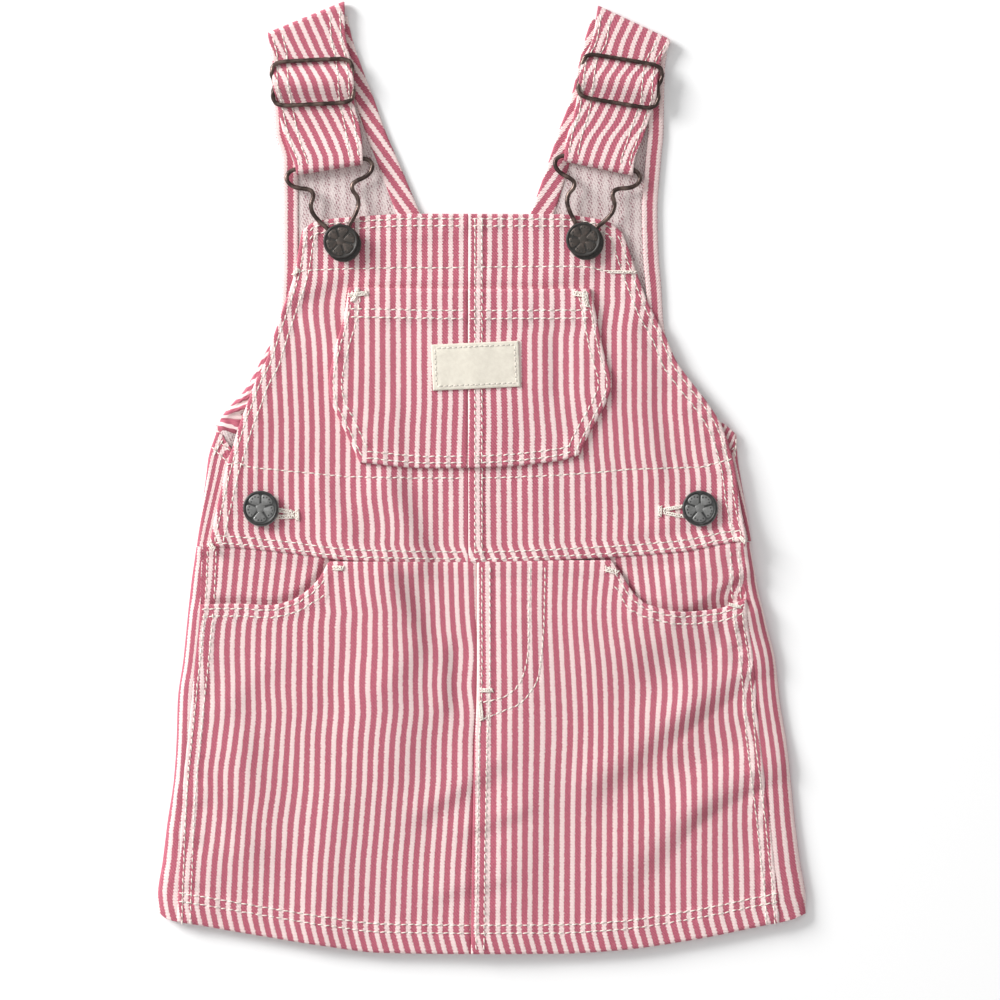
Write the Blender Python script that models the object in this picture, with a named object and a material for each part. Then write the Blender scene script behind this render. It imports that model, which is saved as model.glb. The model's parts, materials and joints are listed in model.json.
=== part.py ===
"""A baby's overall skirt, laid flat on its back with both straps folded forward.

Left and right are as seen from the front, +X is to the right, +Y runs up the garment
towards the straps and +Z is up from the surface.  Every size below is in millimetres.
The garment is cut from striped twill.  The two back halves lie on the surface, wrap
round the sides and meet the two front halves at the side seams.  The bib, its patch
pocket and label lie on the vest back.  Each strap runs over its shoulder fold, through
a wire slide, round a wire hook and back under itself.
"""
import math
from collections import namedtuple

import bpy
from mathutils import Matrix, Vector

MM = 0.001

# ---------------------------------------------------------------- driving sizes
CLOTH = 1.1              # thickness of the sewn twill
GAP = 0.3                # space between neighbouring pieces
WIRE = 1.8               # diameter of the slide and hook wire
CENTRE_BAR = 1.4         # diameter of the bar in the middle of a slide
FRONT_LIFT = 3.3         # underside of the skirt front and waist above the surface
BIB_LIFT = 1.8           # underside of the bib at its top edge
HIGHEST_LIFT = 4.9       # highest that a fold raises the underside of the front
LOWEST_LIFT = 2.9        # lowest that a trough lets the skirt front sink
BIB_FALL_FROM = 22.0     # the bib starts to lie closer to the back here
BIB_FALL_TO = 98.0       # and lies closest from here up
STAND_LEG = 8.0          # how far the button stand reaches under, on the back
STAND_WIDTH = 30.0       # how far the button stand reaches under the front
FACING_DEPTH = 8.0       # how far the pocket facing runs on under the skirt front
FACING_LOWEST_START = -44.0  # the facing's lower edge follows the scoop from here down
STAND_EASE = 0.1         # extra room between the button stand and the front
BUTTON_RADIUS = 7.1
SHANK_RADIUS = 2.1
BUTTON_SIDES = 24
WIRE_SIDES = 6
MEET_STEPS = 12          # steps that settle a point between its edges and lines
LOOP_FALL = 16.0         # length over which the strap falls from its loop to its slide
STRAP_STATION = 2.0      # distance between the sections of the strap's upper layer
ARC_STEPS = 6            # sections round the strap's loop and its shoulder fold
SIDE_ARC_STEPS = 5       # sections round a side fold
LABEL_CLOTH = 1.0        # thickness of the label with its turned ends

# ---------------------------------------------------------------- sections
EdgeSection = namedtuple("EdgeSection", "y left right")
VestSection = namedtuple("VestSection", "y armhole_left neck_left neck_right armhole_right")
SkirtSection = namedtuple("SkirtSection", "y side_left seam_left centre seam_right side_right")
LinePoint = namedtuple("LinePoint", "x y")
Fold = namedtuple("Fold", "start_x start_y end_x end_y width height")
Crease = namedtuple("Crease", "up x y slope")
Ring = namedtuple("Ring", "radius height shift")

STRAP_SECTIONS = {
    "left": [
        EdgeSection(120, -73.6, -47.8),
        EdgeSection(126, -74.8, -47.4),
        EdgeSection(132, -77.4, -47.6),
        EdgeSection(140, -79.8, -48.6),
        EdgeSection(150, -81.8, -50.8),
        EdgeSection(158, -82.8, -52.0),
        EdgeSection(168, -83.5, -52.6),
        EdgeSection(178, -85.4, -54.4),
        EdgeSection(191, -84.6, -54.8),
    ],
    "right": [
        EdgeSection(120, 33.2, 60.4),
        EdgeSection(126, 33.0, 61.0),
        EdgeSection(136, 34.2, 64.6),
        EdgeSection(145, 37.0, 67.6),
        EdgeSection(151, 39.0, 69.6),
        EdgeSection(158, 39.8, 70.6),
        EdgeSection(166, 40.6, 71.8),
        EdgeSection(174, 44.0, 75.4),
        EdgeSection(190, 46.8, 75.0),
    ],
}

VEST_SECTIONS = [
    VestSection(-36, -104.0, -0.15, 0.15, 99.0),
    VestSection(0, -101.0, -0.15, 0.15, 94.6),
    VestSection(8, -98.8, -0.15, 0.15, 93.4),
    VestSection(17, -97.4, -0.15, 0.15, 92.8),
    VestSection(25, -98.4, -0.15, 0.15, 92.4),
    VestSection(31, -95.6, -0.15, 0.15, 88.0),
    VestSection(43, -86.5, -0.15, 0.15, 78.5),
    VestSection(57, -81.8, -0.15, 0.15, 73.6),
    VestSection(64, -80.8, -0.4, 0.4, 72.6),
    VestSection(75, -79.8, -8.6, 5.0, 72.0),
    VestSection(90, -79.4, -17.2, 12.6, 70.8),
    VestSection(106, -79.4, -24.6, 19.6, 70.4),
    VestSection(127, -79.6, -33.4, 27.0, 71.8),
    VestSection(138, -82.6, -38.2, 30.6, 72.8),
    VestSection(151, -83.2, -42.8, 35.4, 73.0),
    VestSection(164, -83.6, -47.8, 38.6, 73.4),
    VestSection(177, -85.4, -52.0, 41.8, 75.2),
    VestSection(190, -84.8, -54.6, 46.6, 75.2),
]

BIB_SECTIONS = [
    EdgeSection(-34, -110.0, 107.0),
    EdgeSection(-22, -107.8, 105.4),
    EdgeSection(-9, -105.0, 103.0),
    EdgeSection(3, -102.2, 101.4),
    EdgeSection(13, -99.2, 98.8),
    EdgeSection(21, -96.8, 95.8),
    EdgeSection(30, -93.4, 90.2),
    EdgeSection(38, -90.4, 84.0),
    EdgeSection(47, -86.0, 77.6),
    EdgeSection(56, -83.2, 73.8),
    EdgeSection(68, -79.2, 67.4),
    EdgeSection(82, -74.6, 62.0),
    EdgeSection(93, -72.8, 58.2),
    EdgeSection(102, -70.8, 54.6),
]

POCKET_SECTIONS = [
    EdgeSection(4, -47.6, 38.0),
    EdgeSection(12, -51.4, 40.4),
    EdgeSection(22, -56.2, 45.6),
    EdgeSection(31, -60.2, 50.2),
    EdgeSection(37, -61.0, 52.0),
    EdgeSection(51, -58.6, 48.6),
    EdgeSection(64, -55.0, 46.0),
    EdgeSection(76, -53.0, 43.4),
]

STAND_SECTIONS = [
    EdgeSection(-30, -114.2, 108.6),
    EdgeSection(-17, -112.6, 106.6),
    EdgeSection(0, -110.2, 103.6),
    EdgeSection(8, -109.2, 102.4),
    EdgeSection(18, -106.4, 101.8),
]

STAND_TOP_LINES = {
    "left": [
        LinePoint(-109, 18.4),
        LinePoint(-105, 18.0),
        LinePoint(-99, 11.0),
        LinePoint(-76, 9.0),
    ],
    "right": [
        LinePoint(72, 20.0),
        LinePoint(88, 22.6),
        LinePoint(94, 22.6),
        LinePoint(102, 17.2),
    ],
}

SKIRT_SECTIONS = [
    SkirtSection(-182, -129.6, -121.6, -4.2, 119.2, 129.6),
    SkirtSection(-169, -129.6, -121.4, -4.0, 118.8, 129.6),
    SkirtSection(-153, -127.4, -120.8, -3.8, 117.0, 127.2),
    SkirtSection(-137, -125.4, -120.2, -3.5, 115.4, 125.2),
    SkirtSection(-121, -123.0, -119.2, -3.2, 113.4, 123.6),
    SkirtSection(-105, -121.9, -117.6, -2.8, 111.4, 121.8),
    SkirtSection(-89, -121.4, -116.0, -2.0, 110.2, 119.2),
    SkirtSection(-73, -119.2, -114.4, -1.8, 108.8, 117.4),
    SkirtSection(-57, -117.6, -112.8, -1.8, 106.4, 113.4),
    SkirtSection(-42, -116.0, -111.9, -1.8, 105.2, 110.0),
    SkirtSection(-28, -114.8, -111.4, -1.8, 104.8, 107.8),
]

# ---------------------------------------------------------------- lines across
WAIST_LINE = [
    LinePoint(-116, -27.4),
    LinePoint(-104, -27.8),
    LinePoint(-81, -29.8),
    LinePoint(-49, -33.4),
    LinePoint(0, -34.2),
    LinePoint(31, -33.0),
    LinePoint(79, -29.8),
    LinePoint(103, -25.6),
    LinePoint(112, -25.2),
]

BACK_WAIST_LINE = [
    LinePoint(-116, -27.4),
    LinePoint(-104, -27.8),
    LinePoint(0, -27.8),
    LinePoint(103, -25.6),
    LinePoint(112, -25.2),
]

HEM_LINE = [
    LinePoint(-130, -173.0),
    LinePoint(-125, -176.6),
    LinePoint(-111, -179.2),
    LinePoint(-89, -183.0),
    LinePoint(-64, -187.0),
    LinePoint(-40, -189.9),
    LinePoint(-4, -190.4),
    LinePoint(30, -190.3),
    LinePoint(54, -189.0),
    LinePoint(83, -185.0),
    LinePoint(112, -179.2),
    LinePoint(124, -176.6),
    LinePoint(130, -174.0),
]

SCOOP_LINES = {
    "left": [
        LinePoint(-113, -50.6),
        LinePoint(-97, -50.4),
        LinePoint(-85, -51.0),
        LinePoint(-76, -49.0),
        LinePoint(-70, -45.4),
        LinePoint(-65, -40.4),
        LinePoint(-61, -33.5),
    ],
    "right": [
        LinePoint(52, -33.0),
        LinePoint(56, -38.8),
        LinePoint(61, -46.4),
        LinePoint(67, -50.8),
        LinePoint(80, -53.6),
        LinePoint(94, -52.4),
        LinePoint(106, -48.2),
    ],
}

BIB_TOP_LINE = [
    LinePoint(-72, 98.4),
    LinePoint(-67, 102.0),
    LinePoint(-60, 103.4),
    LinePoint(-25, 105.4),
    LinePoint(31, 105.2),
    LinePoint(47, 103.2),
    LinePoint(52, 101.6),
    LinePoint(56, 98.0),
]

POCKET_TOP_LINE = [
    LinePoint(-53, 76.0),
    LinePoint(-5, 75.2),
    LinePoint(44, 75.4),
]

POCKET_BOTTOM_LINE = [
    LinePoint(-48, 5.8),
    LinePoint(-21, 3.6),
    LinePoint(0, 3.8),
    LinePoint(31, 6.6),
    LinePoint(39, 9.0),
]

BIB_CENTRE = -5.4        # the seam down the middle of the bib and its pocket
LABEL_SIZE = (35.0, 18.4)
LABEL_PLACE = (-2.3, 44.6)
LABEL_TILT = math.radians(2.6)

# ---------------------------------------------------------------- folds in the front
FOLDS = [
    Fold(104, -70, 78, -91, 7.0, 1.1),
    Fold(78, -91, 42, -117, 7.0, 1.0),
    Fold(112, -84, 88, -106, 7.0, -0.4),
    Fold(88, -106, 50, -133, 7.0, -0.4),
    Fold(104, -117, 54, -152, 7.0, 0.9),
    Fold(112, -132, 62, -166, 6.0, -0.4),
    Fold(-46, -38, -50, -100, 9.0, 0.9),
    Fold(-39, -4, -30, -30, 6.0, 0.8),
    Fold(-97, -110, -92, -144, 13.0, 1.1),
    Fold(-24, -36, -24, -100, 9.0, -0.4),
    Fold(-60, -130, -66, -186, 10.0, 0.7),
    Fold(14, -60, 8, -184, 16.0, 0.8),
    Fold(-5, 80, -5, 0, 30.0, 0.7),
]

POCKET_LIFTS = [
    Fold(46, 70, 51, 30, 7.0, 1.0),
]

# ---------------------------------------------------------------- straps and hardware
BIB_BUTTONS = {"left": (-56.2, 94.2), "right": (40.6, 95.0)}
SIDE_BUTTONS = {"left": (-88.2, -12.2), "right": (87.0, -12.2)}
HOOK_TILT = {"left": math.radians(9.2), "right": math.radians(-11.8)}
HOOK_LENGTH = 31.2
HOOK_RISE_FROM = 20.0    # above here the hook's wire leans towards the strap's loop
SLIDE_PLACE = {"left": (-67.4, 157.8), "right": (55.4, 158.2)}
SLIDE_TILT = {"left": math.radians(2.9), "right": math.radians(-9.5)}
SLIDE_HALF_HEIGHT = 8.8
SLIDE_CREASE = 10.0      # the strap stays square to its slide this far either side of it
SHOULDER_FOLD = {
    "left": Crease(0, -70.6, 184.0, 0.41),
    "right": Crease(0, 61.4, 181.8, -0.47),
}
STRAP_BACK_LEG = 6.0

HOOK_HALF = [
    LinePoint(0.0, 31.2),
    LinePoint(8.0, 31.2),
    LinePoint(14.6, 31.2),
    LinePoint(17.2, 28.8),
    LinePoint(16.5, 26.0),
    LinePoint(13.8, 24.0),
    LinePoint(10.2, 22.9),
    LinePoint(8.2, 21.6),
    LinePoint(8.0, 19.4),
    LinePoint(9.4, 16.4),
    LinePoint(9.2, 13.0),
    LinePoint(7.2, 9.4),
    LinePoint(4.4, 5.8),
    LinePoint(3.6, 2.6),
    LinePoint(3.5, 0.0),
    LinePoint(2.5, -2.5),
    LinePoint(0.0, -3.6),
]

SLIDE_QUARTER = [
    LinePoint(0.0, 8.8),
    LinePoint(7.0, 8.8),
    LinePoint(13.4, 8.6),
    LinePoint(16.6, 7.0),
    LinePoint(17.4, 3.8),
    LinePoint(17.0, 0.0),
]

FINISHES = {
    # name: (colour, roughness, metallic)
    "striped_twill": ((0.58, 0.20, 0.27, 1.0), 0.85, 0.0),
    "label_tape": ((0.86, 0.82, 0.74, 1.0), 0.8, 0.0),
    "gunmetal": ((0.10, 0.085, 0.08, 1.0), 0.42, 0.9),
}


# ---------------------------------------------------------------- drafting
def reader(stations, values):
    """Read a value anywhere along its stations, on a smooth curve with no overshoot."""
    pairs = sorted(zip(stations, values))
    places = [pair[0] for pair in pairs]
    levels = [pair[1] for pair in pairs]
    steps = [b - a for a, b in zip(places, places[1:])]
    rises = [(b - a) / step for a, b, step in zip(levels, levels[1:], steps)]
    slopes = [rises[0]]
    for before, after in zip(rises, rises[1:]):
        slopes.append(2 * before * after / (before + after) if before * after > 0 else 0.0)
    slopes.append(rises[-1])

    def read(place):
        place = min(max(place, places[0]), places[-1])
        k = 0
        while k < len(steps) - 1 and place > places[k + 1]:
            k += 1
        t = (place - places[k]) / steps[k]
        return (levels[k] * (1 + 2 * t) * (1 - t) ** 2
                + levels[k + 1] * t * t * (3 - 2 * t)
                + steps[k] * slopes[k] * t * (1 - t) ** 2
                - steps[k] * slopes[k + 1] * t * t * (1 - t))
    return read


def column(sections, name):
    """The edge called name, as a function that gives x at any y."""
    return reader([row.y for row in sections], [getattr(row, name) for row in sections])


def line(points):
    """A line across the garment, as a function that gives y at any x."""
    return reader([point.x for point in points], [point.y for point in points])


def meet(x_at, y_at, y):
    """Where an edge that gives x for y crosses a line that gives y for x."""
    for _ in range(MEET_STEPS):
        x = x_at(y)
        y = y_at(x)
    return x, y


def shares(count):
    """Evenly spaced shares from 0 to 1, count steps of them."""
    return [k / count for k in range(count + 1)]


def draft(left, right, bottom, top, across, up):
    """Plan points of a panel between two edges x(y) and two lines y(x), row by row."""
    rows = []
    for v in shares(up):
        row = []
        for u in shares(across):
            def x_at(y, u=u):
                return left(y) + (right(y) - left(y)) * u

            def y_at(x, v=v):
                return bottom(x) + (top(x) - bottom(x)) * v
            middle = (bottom(0.0) + top(0.0)) / 2
            row.append(meet(x_at, y_at, middle))
        rows.append(row)
    return rows


def shifted(curve, amount):
    """The same edge or line, moved by a fixed amount."""
    return lambda place: curve(place) + amount


# ---------------------------------------------------------------- heights
def fold_height(folds, x, y):
    """How far the soft ridges and troughs move the cloth at one point."""
    total = 0.0
    point = Vector((x, y))
    for fold in folds:
        start = Vector((fold.start_x, fold.start_y))
        run = Vector((fold.end_x, fold.end_y)) - start
        share = min(max((point - start).dot(run) / run.length_squared, 0.0), 1.0)
        away = (point - start - run * share).length
        total += fold.height * math.exp(-(away / fold.width) ** 2)
    return total


def front_under(x, y):
    """Height of the underside of the garment's front."""
    fall = min(max((y - BIB_FALL_FROM) / (BIB_FALL_TO - BIB_FALL_FROM), 0.0), 1.0)
    fall = fall * fall * (3 - 2 * fall)
    lift = FRONT_LIFT + (BIB_LIFT - FRONT_LIFT) * fall
    lift += fold_height(FOLDS, x, y)
    lowest = LOWEST_LIFT + (BIB_LIFT - LOWEST_LIFT) * fall
    return min(max(lift, lowest), HIGHEST_LIFT)


def front_over(x, y):
    """Height of the outer face of the garment's front."""
    return front_under(x, y) + CLOTH


def pocket_under(x, y):
    """The patch pocket lies on the bib, and its right edge lifts a little."""
    return front_over(x, y) + GAP + max(fold_height(POCKET_LIFTS, x, y), 0.0)


# ---------------------------------------------------------------- meshes
def finish_material(node_name, finish):
    """The piece's own material, with the colour, roughness and metallic value of its finish."""
    colour, roughness, metallic = FINISHES[finish]
    material = bpy.data.materials.new(node_name + "_" + finish)
    material.use_nodes = True
    shader = material.node_tree.nodes["Principled BSDF"]
    shader.inputs["Base Color"].default_value = colour
    shader.inputs["Roughness"].default_value = roughness
    shader.inputs["Metallic"].default_value = metallic
    return material


def add_piece(name, points, faces, finish):
    """Make one named object from points in millimetres."""
    mesh = bpy.data.meshes.new(name)
    mesh.from_pydata([Vector(point) * MM for point in points], [], faces)
    mesh.update()
    mesh.shade_smooth()
    mesh.set_sharp_from_angle(angle=math.radians(40))
    piece = bpy.data.objects.new(name, mesh)
    bpy.context.scene.collection.objects.link(piece)
    mesh.materials.append(finish_material(name, finish))
    return piece


def add_wall(name, over, under, finish="striped_twill"):
    """One closed wall of cloth between two grids of points, its outer and its inner face."""
    rows = len(over)
    columns = len(over[0])
    points = [point for grid in (over, under) for row in grid for point in row]

    def at(side, row, col):
        return (side * rows + row) * columns + col
    faces = []
    for r in range(rows - 1):
        for c in range(columns - 1):
            faces.append((at(0, r, c), at(0, r, c + 1), at(0, r + 1, c + 1), at(0, r + 1, c)))
            faces.append((at(1, r, c), at(1, r + 1, c), at(1, r + 1, c + 1), at(1, r, c + 1)))
    for c in range(columns - 1):
        for r, a, b in ((0, c + 1, c), (rows - 1, c, c + 1)):
            faces.append((at(0, r, a), at(0, r, b), at(1, r, b), at(1, r, a)))
    for r in range(rows - 1):
        for c, a, b in ((0, r, r + 1), (columns - 1, r + 1, r)):
            faces.append((at(0, a, c), at(0, b, c), at(1, b, c), at(1, a, c)))
    return add_piece(name, points, faces, finish)


def add_panel(name, plan, under_at, thickness=CLOTH, finish="striped_twill"):
    """A panel from its plan points, with its underside at the height that under_at gives."""
    under = [[(x, y, under_at(x, y)) for x, y in row] for row in plan]
    over = [[(x, y, z + thickness) for x, y, z in row] for row in under]
    return add_wall(name, over, under, finish)


def flat_on_surface(x, y):
    """The underside of a piece that lies on the surface."""
    return 0.0


def smooth_path(points, closed, per_span):
    """Points along a smooth curve through the given points."""
    count = len(points)
    spans = count if closed else count - 1
    path = []
    for k in range(spans):
        if closed:
            a, b, c, d = (Vector(points[(k + step) % count]) for step in (-1, 0, 1, 2))
        else:
            a, b, c, d = (Vector(points[min(max(k + step, 0), count - 1)])
                          for step in (-1, 0, 1, 2))
        for step in range(per_span):
            t = step / per_span
            path.append(0.5 * (2 * b + (c - a) * t + (2 * a - 5 * b + 4 * c - d) * t * t
                               + (3 * b - a - 3 * c + d) * t ** 3))
    if not closed:
        path.append(Vector(points[-1]))
    return path


def wire_mesh(path, radius, closed):
    """Points and faces of a round wire along a path."""
    count = len(path)
    points = []
    for k, centre in enumerate(path):
        before = path[k - 1] if closed or k > 0 else path[0]
        after = path[(k + 1) % count] if closed or k < count - 1 else path[-1]
        ahead = (after - before).normalized()
        side = ahead.cross(Vector((0, 0, 1))).normalized()
        up = side.cross(ahead)
        for s in range(WIRE_SIDES):
            angle = 2 * math.pi * s / WIRE_SIDES
            points.append(centre + (side * math.cos(angle) + up * math.sin(angle)) * radius)
    faces = []
    for k in range(count if closed else count - 1):
        for s in range(WIRE_SIDES):
            a = k * WIRE_SIDES + s
            b = k * WIRE_SIDES + (s + 1) % WIRE_SIDES
            c = (k + 1) % count * WIRE_SIDES + (s + 1) % WIRE_SIDES
            d = (k + 1) % count * WIRE_SIDES + s
            faces.append((a, d, c, b))
    if not closed:
        last = (count - 1) * WIRE_SIDES
        faces.append(tuple(range(WIRE_SIDES)))
        faces.append(tuple(reversed(range(last, last + WIRE_SIDES))))
    return points, faces


# ---------------------------------------------------------------- the back
def make_vest_back(side):
    """Half of the high back, from the waist up to its strap's shoulder fold."""
    outer = column(VEST_SECTIONS, "armhole_" + side)
    inner = column(VEST_SECTIONS, "neck_" + side)
    left, right = (outer, inner) if side == "left" else (inner, outer)
    fold = SHOULDER_FOLD[side]

    def top(x):
        return fold.y + fold.slope * (x - fold.x) - STRAP_BACK_LEG - GAP
    plan = draft(left, right, line(BACK_WAIST_LINE), top, 6, 24)
    add_panel("vest_back_" + side, plan, flat_on_surface)


LOW_LEG_SHARES = (1.0, 0.8, 0.6, 0.4, 0.2, 0.05)
HIGH_LEG_SHARES = (0.5, 1.0)


def turned_side(edge_x, sign, low_leg, high_leg, high_top):
    """One section of cloth that wraps the side: (x, z) of its outer and its inner face.

    It runs from the end of the leg on the surface, round the fold, to the end of the
    leg on top.  high_top is the height of the outer face on top, and sign is -1 on the left.
    """
    radius = high_top / 2
    centre_x = edge_x - sign * radius
    section = [((centre_x - sign * low_leg * share, 0.0),
                (centre_x - sign * low_leg * share, CLOTH)) for share in LOW_LEG_SHARES]
    for step in range(SIDE_ARC_STEPS + 1):
        angle = math.pi * step / SIDE_ARC_STEPS
        out = math.sin(angle) * sign
        down = math.cos(angle)
        section.append(((centre_x + out * radius, radius - down * radius),
                        (centre_x + out * (radius - CLOTH), radius - down * (radius - CLOTH))))
    for share in HIGH_LEG_SHARES:
        x = centre_x - sign * high_leg * share
        section.append(((x, high_top), (x, high_top - CLOTH)))
    return section


def add_turned_piece(name, sections, sign):
    """A wall from sections of (outer, inner) points, each section in its own row."""
    over = [[pair[0] for pair in row] for row in sections]
    under = [[pair[1] for pair in row] for row in sections]
    if sign > 0:
        over = [list(reversed(row)) for row in over]
        under = [list(reversed(row)) for row in under]
    return add_wall(name, over, under)


def make_button_stand(side):
    """The folded strip at the side opening, with one leg on the back and one under the front."""
    sign = -1 if side == "left" else 1
    edge = column(STAND_SECTIONS, side)
    waist = line(BACK_WAIST_LINE)
    top = line(STAND_TOP_LINES[side])
    top_z = FRONT_LIFT - GAP - STAND_EASE
    radius = top_z / 2
    sections = []
    for v in shares(6):
        def stand_y(x, v=v):
            low = waist(x)
            return low + (top(x) - low) * v
        edge_x, _ = meet(edge, stand_y, 0.0)
        row = []
        for out, inn in turned_side(edge_x, sign, STAND_LEG - radius, STAND_WIDTH - radius,
                                    top_z):
            row.append(((out[0], stand_y(out[0]), out[1]), (inn[0], stand_y(inn[0]), inn[1])))
        sections.append(row)
    add_turned_piece("button_stand_" + side, sections, sign)


def make_skirt_back(side):
    """Half of the skirt's back, which wraps the side up to the seam with the front."""
    sign = -1 if side == "left" else 1
    edge = column(SKIRT_SECTIONS, "side_" + side)
    seam = column(SKIRT_SECTIONS, "seam_" + side)
    waist = line(BACK_WAIST_LINE)
    hem = line(HEM_LINE)
    sections = []
    for v in shares(14):
        def side_y(x, v=v):
            return hem(x) + (waist(x) - GAP - hem(x)) * v
        seam_x, seam_y = meet(lambda y: seam(y) + sign * GAP, side_y, -100.0)
        edge_x, edge_y = meet(edge, side_y, -100.0)
        top_z = front_over(seam_x, seam_y)
        radius = top_z / 2
        low_leg = abs(edge_x) - radius - GAP / 2
        high_leg = abs(edge_x - seam_x) - radius
        row = []
        for out, inn in turned_side(edge_x, sign, low_leg, high_leg, top_z):
            row.append(((out[0], side_y(out[0]), out[1]), (inn[0], side_y(inn[0]), inn[1])))
        sections.append(row)
    add_turned_piece("skirt_back_" + side, sections, sign)


# ---------------------------------------------------------------- the front
def make_skirt_front(side):
    """Half of the skirt's front, scooped out at the hip pocket."""
    seam = column(SKIRT_SECTIONS, "seam_" + side)
    centre = column(SKIRT_SECTIONS, "centre")
    scoop = line(SCOOP_LINES[side])
    waist = line(WAIST_LINE)

    def top(x):
        return min(waist(x) - GAP, scoop(x))
    if side == "left":
        edges = (seam, shifted(centre, -GAP / 2))
    else:
        edges = (shifted(centre, GAP / 2), seam)
    plan = draft(edges[0], edges[1], line(HEM_LINE), top, 14, 16)
    add_panel("skirt_front_" + side, plan, front_under)


def make_pocket_facing(side):
    """The striped facing that shows inside the hip pocket's scoop."""
    seam = column(SKIRT_SECTIONS, "seam_" + side)
    scoop = line(SCOOP_LINES[side])
    waist = line(WAIST_LINE)

    def bottom(x):
        return min(scoop(x), FACING_LOWEST_START) - FACING_DEPTH

    def top(x):
        return waist(x) - GAP
    if side == "left":
        edges = (shifted(seam, GAP), lambda y: SCOOP_LINES["left"][-1].x + FACING_DEPTH)
    else:
        edges = (lambda y: SCOOP_LINES["right"][0].x - FACING_DEPTH, shifted(seam, -GAP))
    plan = draft(edges[0], edges[1], bottom, top, 8, 3)
    add_panel("pocket_facing_" + side, plan, lambda x, y: front_under(x, y) - GAP - CLOTH)


def make_bib(side):
    """Half of the bib, cut in one with the waist, with the seam down its middle."""
    outer = column(BIB_SECTIONS, side)
    if side == "left":
        edges = (outer, lambda y: BIB_CENTRE - GAP / 2)
    else:
        edges = (lambda y: BIB_CENTRE + GAP / 2, outer)
    plan = draft(edges[0], edges[1], line(WAIST_LINE), line(BIB_TOP_LINE), 8, 16)
    add_panel("bib_" + side, plan, front_under)


def make_bib_pocket(side):
    """Half of the patch pocket on the bib."""
    outer = column(POCKET_SECTIONS, side)
    if side == "left":
        edges = (outer, lambda y: BIB_CENTRE - GAP / 2)
    else:
        edges = (lambda y: BIB_CENTRE + GAP / 2, outer)
    plan = draft(edges[0], edges[1], line(POCKET_BOTTOM_LINE), line(POCKET_TOP_LINE), 6, 8)
    add_panel("bib_pocket_" + side, plan, pocket_under)


def make_label():
    """The bare woven label on the pocket, a little askew."""
    width, length = LABEL_SIZE
    plan = []
    for v in shares(2):
        row = []
        for u in shares(4):
            across = (u - 0.5) * width
            up = (v - 0.5) * length
            row.append((LABEL_PLACE[0] + across * math.cos(LABEL_TILT) - up * math.sin(LABEL_TILT),
                        LABEL_PLACE[1] + across * math.sin(LABEL_TILT) + up * math.cos(LABEL_TILT)))
        plan.append(row)

    def under(x, y):
        return pocket_under(x, y) + CLOTH + GAP
    add_panel("label", plan, under, thickness=LABEL_CLOTH, finish="label_tape")


# ---------------------------------------------------------------- straps
UNDER_Z = CLOTH + GAP + CLOTH / 2                      # middle of the strap's returning end
LOOP_RADIUS = WIRE / 2 + GAP + CLOTH / 2               # of the strap round the hook's bar
HOOK_BAR_Z = UNDER_Z + LOOP_RADIUS
STRAP_Z = UNDER_Z + CLOTH + GAP                        # middle of the strap under the slide
SLIDE_Z = STRAP_Z + CLOTH / 2 + GAP + WIRE / 2
STRAP_OVER_Z = SLIDE_Z + CENTRE_BAR / 2 + GAP + CLOTH / 2
LOOP_NOSE = LOOP_RADIUS + CLOTH / 2                    # from the hook's bar to the loop's end


def turned_point(place, tilt, x, y):
    """A point of a piece of hardware, turned by its tilt and moved to its place."""
    return (place[0] + x * math.cos(tilt) - y * math.sin(tilt),
            place[1] + x * math.sin(tilt) + y * math.cos(tilt))


def strap_creases(side):
    """Lines across the strap: at the loop, on both sides of the slide and at the shoulder."""
    bar = turned_point(BIB_BUTTONS[side], HOOK_TILT[side], 0.0, HOOK_LENGTH)
    slide = SLIDE_PLACE[side]
    fold = SHOULDER_FOLD[side]
    slant = math.tan(SLIDE_TILT[side])
    lean = SLIDE_CREASE * math.sin(SLIDE_TILT[side])
    low = slide[1] - SLIDE_CREASE
    high = slide[1] + SLIDE_CREASE
    start = bar[1] - LOOP_NOSE
    return [
        Crease(0.0, bar[0], start, math.tan(HOOK_TILT[side])),
        Crease(LOOP_NOSE * 2, bar[0], bar[1] + LOOP_NOSE, math.tan(HOOK_TILT[side])),
        Crease(low - start, slide[0] + lean, low, slant),
        Crease(high - start, slide[0] - lean, high, slant),
        Crease(fold.y - start - STRAP_BACK_LEG - 1, fold.x, fold.y, fold.slope),
        Crease(fold.y - start, fold.x, fold.y, fold.slope),
    ]


def strap_profile(slide_up, length):
    """Middle of the strap's thickness as (distance up, height), from its free end to the back."""
    profile = [(slide_up - 4.0, UNDER_Z), (slide_up - 12.0, UNDER_Z), (10.0, UNDER_Z)]
    for step in range(ARC_STEPS + 1):
        angle = math.pi * step / ARC_STEPS
        profile.append((LOOP_NOSE - LOOP_RADIUS * math.sin(angle),
                        HOOK_BAR_Z - LOOP_RADIUS * math.cos(angle)))
    loop_top = HOOK_BAR_Z + LOOP_RADIUS
    shoulder_radius = (STRAP_Z - CLOTH / 2) / 2
    shoulder = length - shoulder_radius - CLOTH / 2
    place = LOOP_NOSE + 3.0
    while place < shoulder - 1.5:
        fall = min((place - LOOP_NOSE) / LOOP_FALL, 1.0)
        height = loop_top + (STRAP_Z - loop_top) * fall * fall * (3 - 2 * fall)
        share = (place - slide_up) / SLIDE_HALF_HEIGHT
        if abs(share) < 1:
            height += (STRAP_OVER_Z - STRAP_Z) * math.cos(math.pi * share / 2) ** 2
        profile.append((place, height))
        place += STRAP_STATION
    for step in range(ARC_STEPS + 1):
        angle = math.pi * step / ARC_STEPS
        profile.append((shoulder + shoulder_radius * math.sin(angle),
                        CLOTH / 2 + shoulder_radius * (1 + math.cos(angle))))
    profile.append((length - STRAP_BACK_LEG, CLOTH / 2))
    return profile


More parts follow.
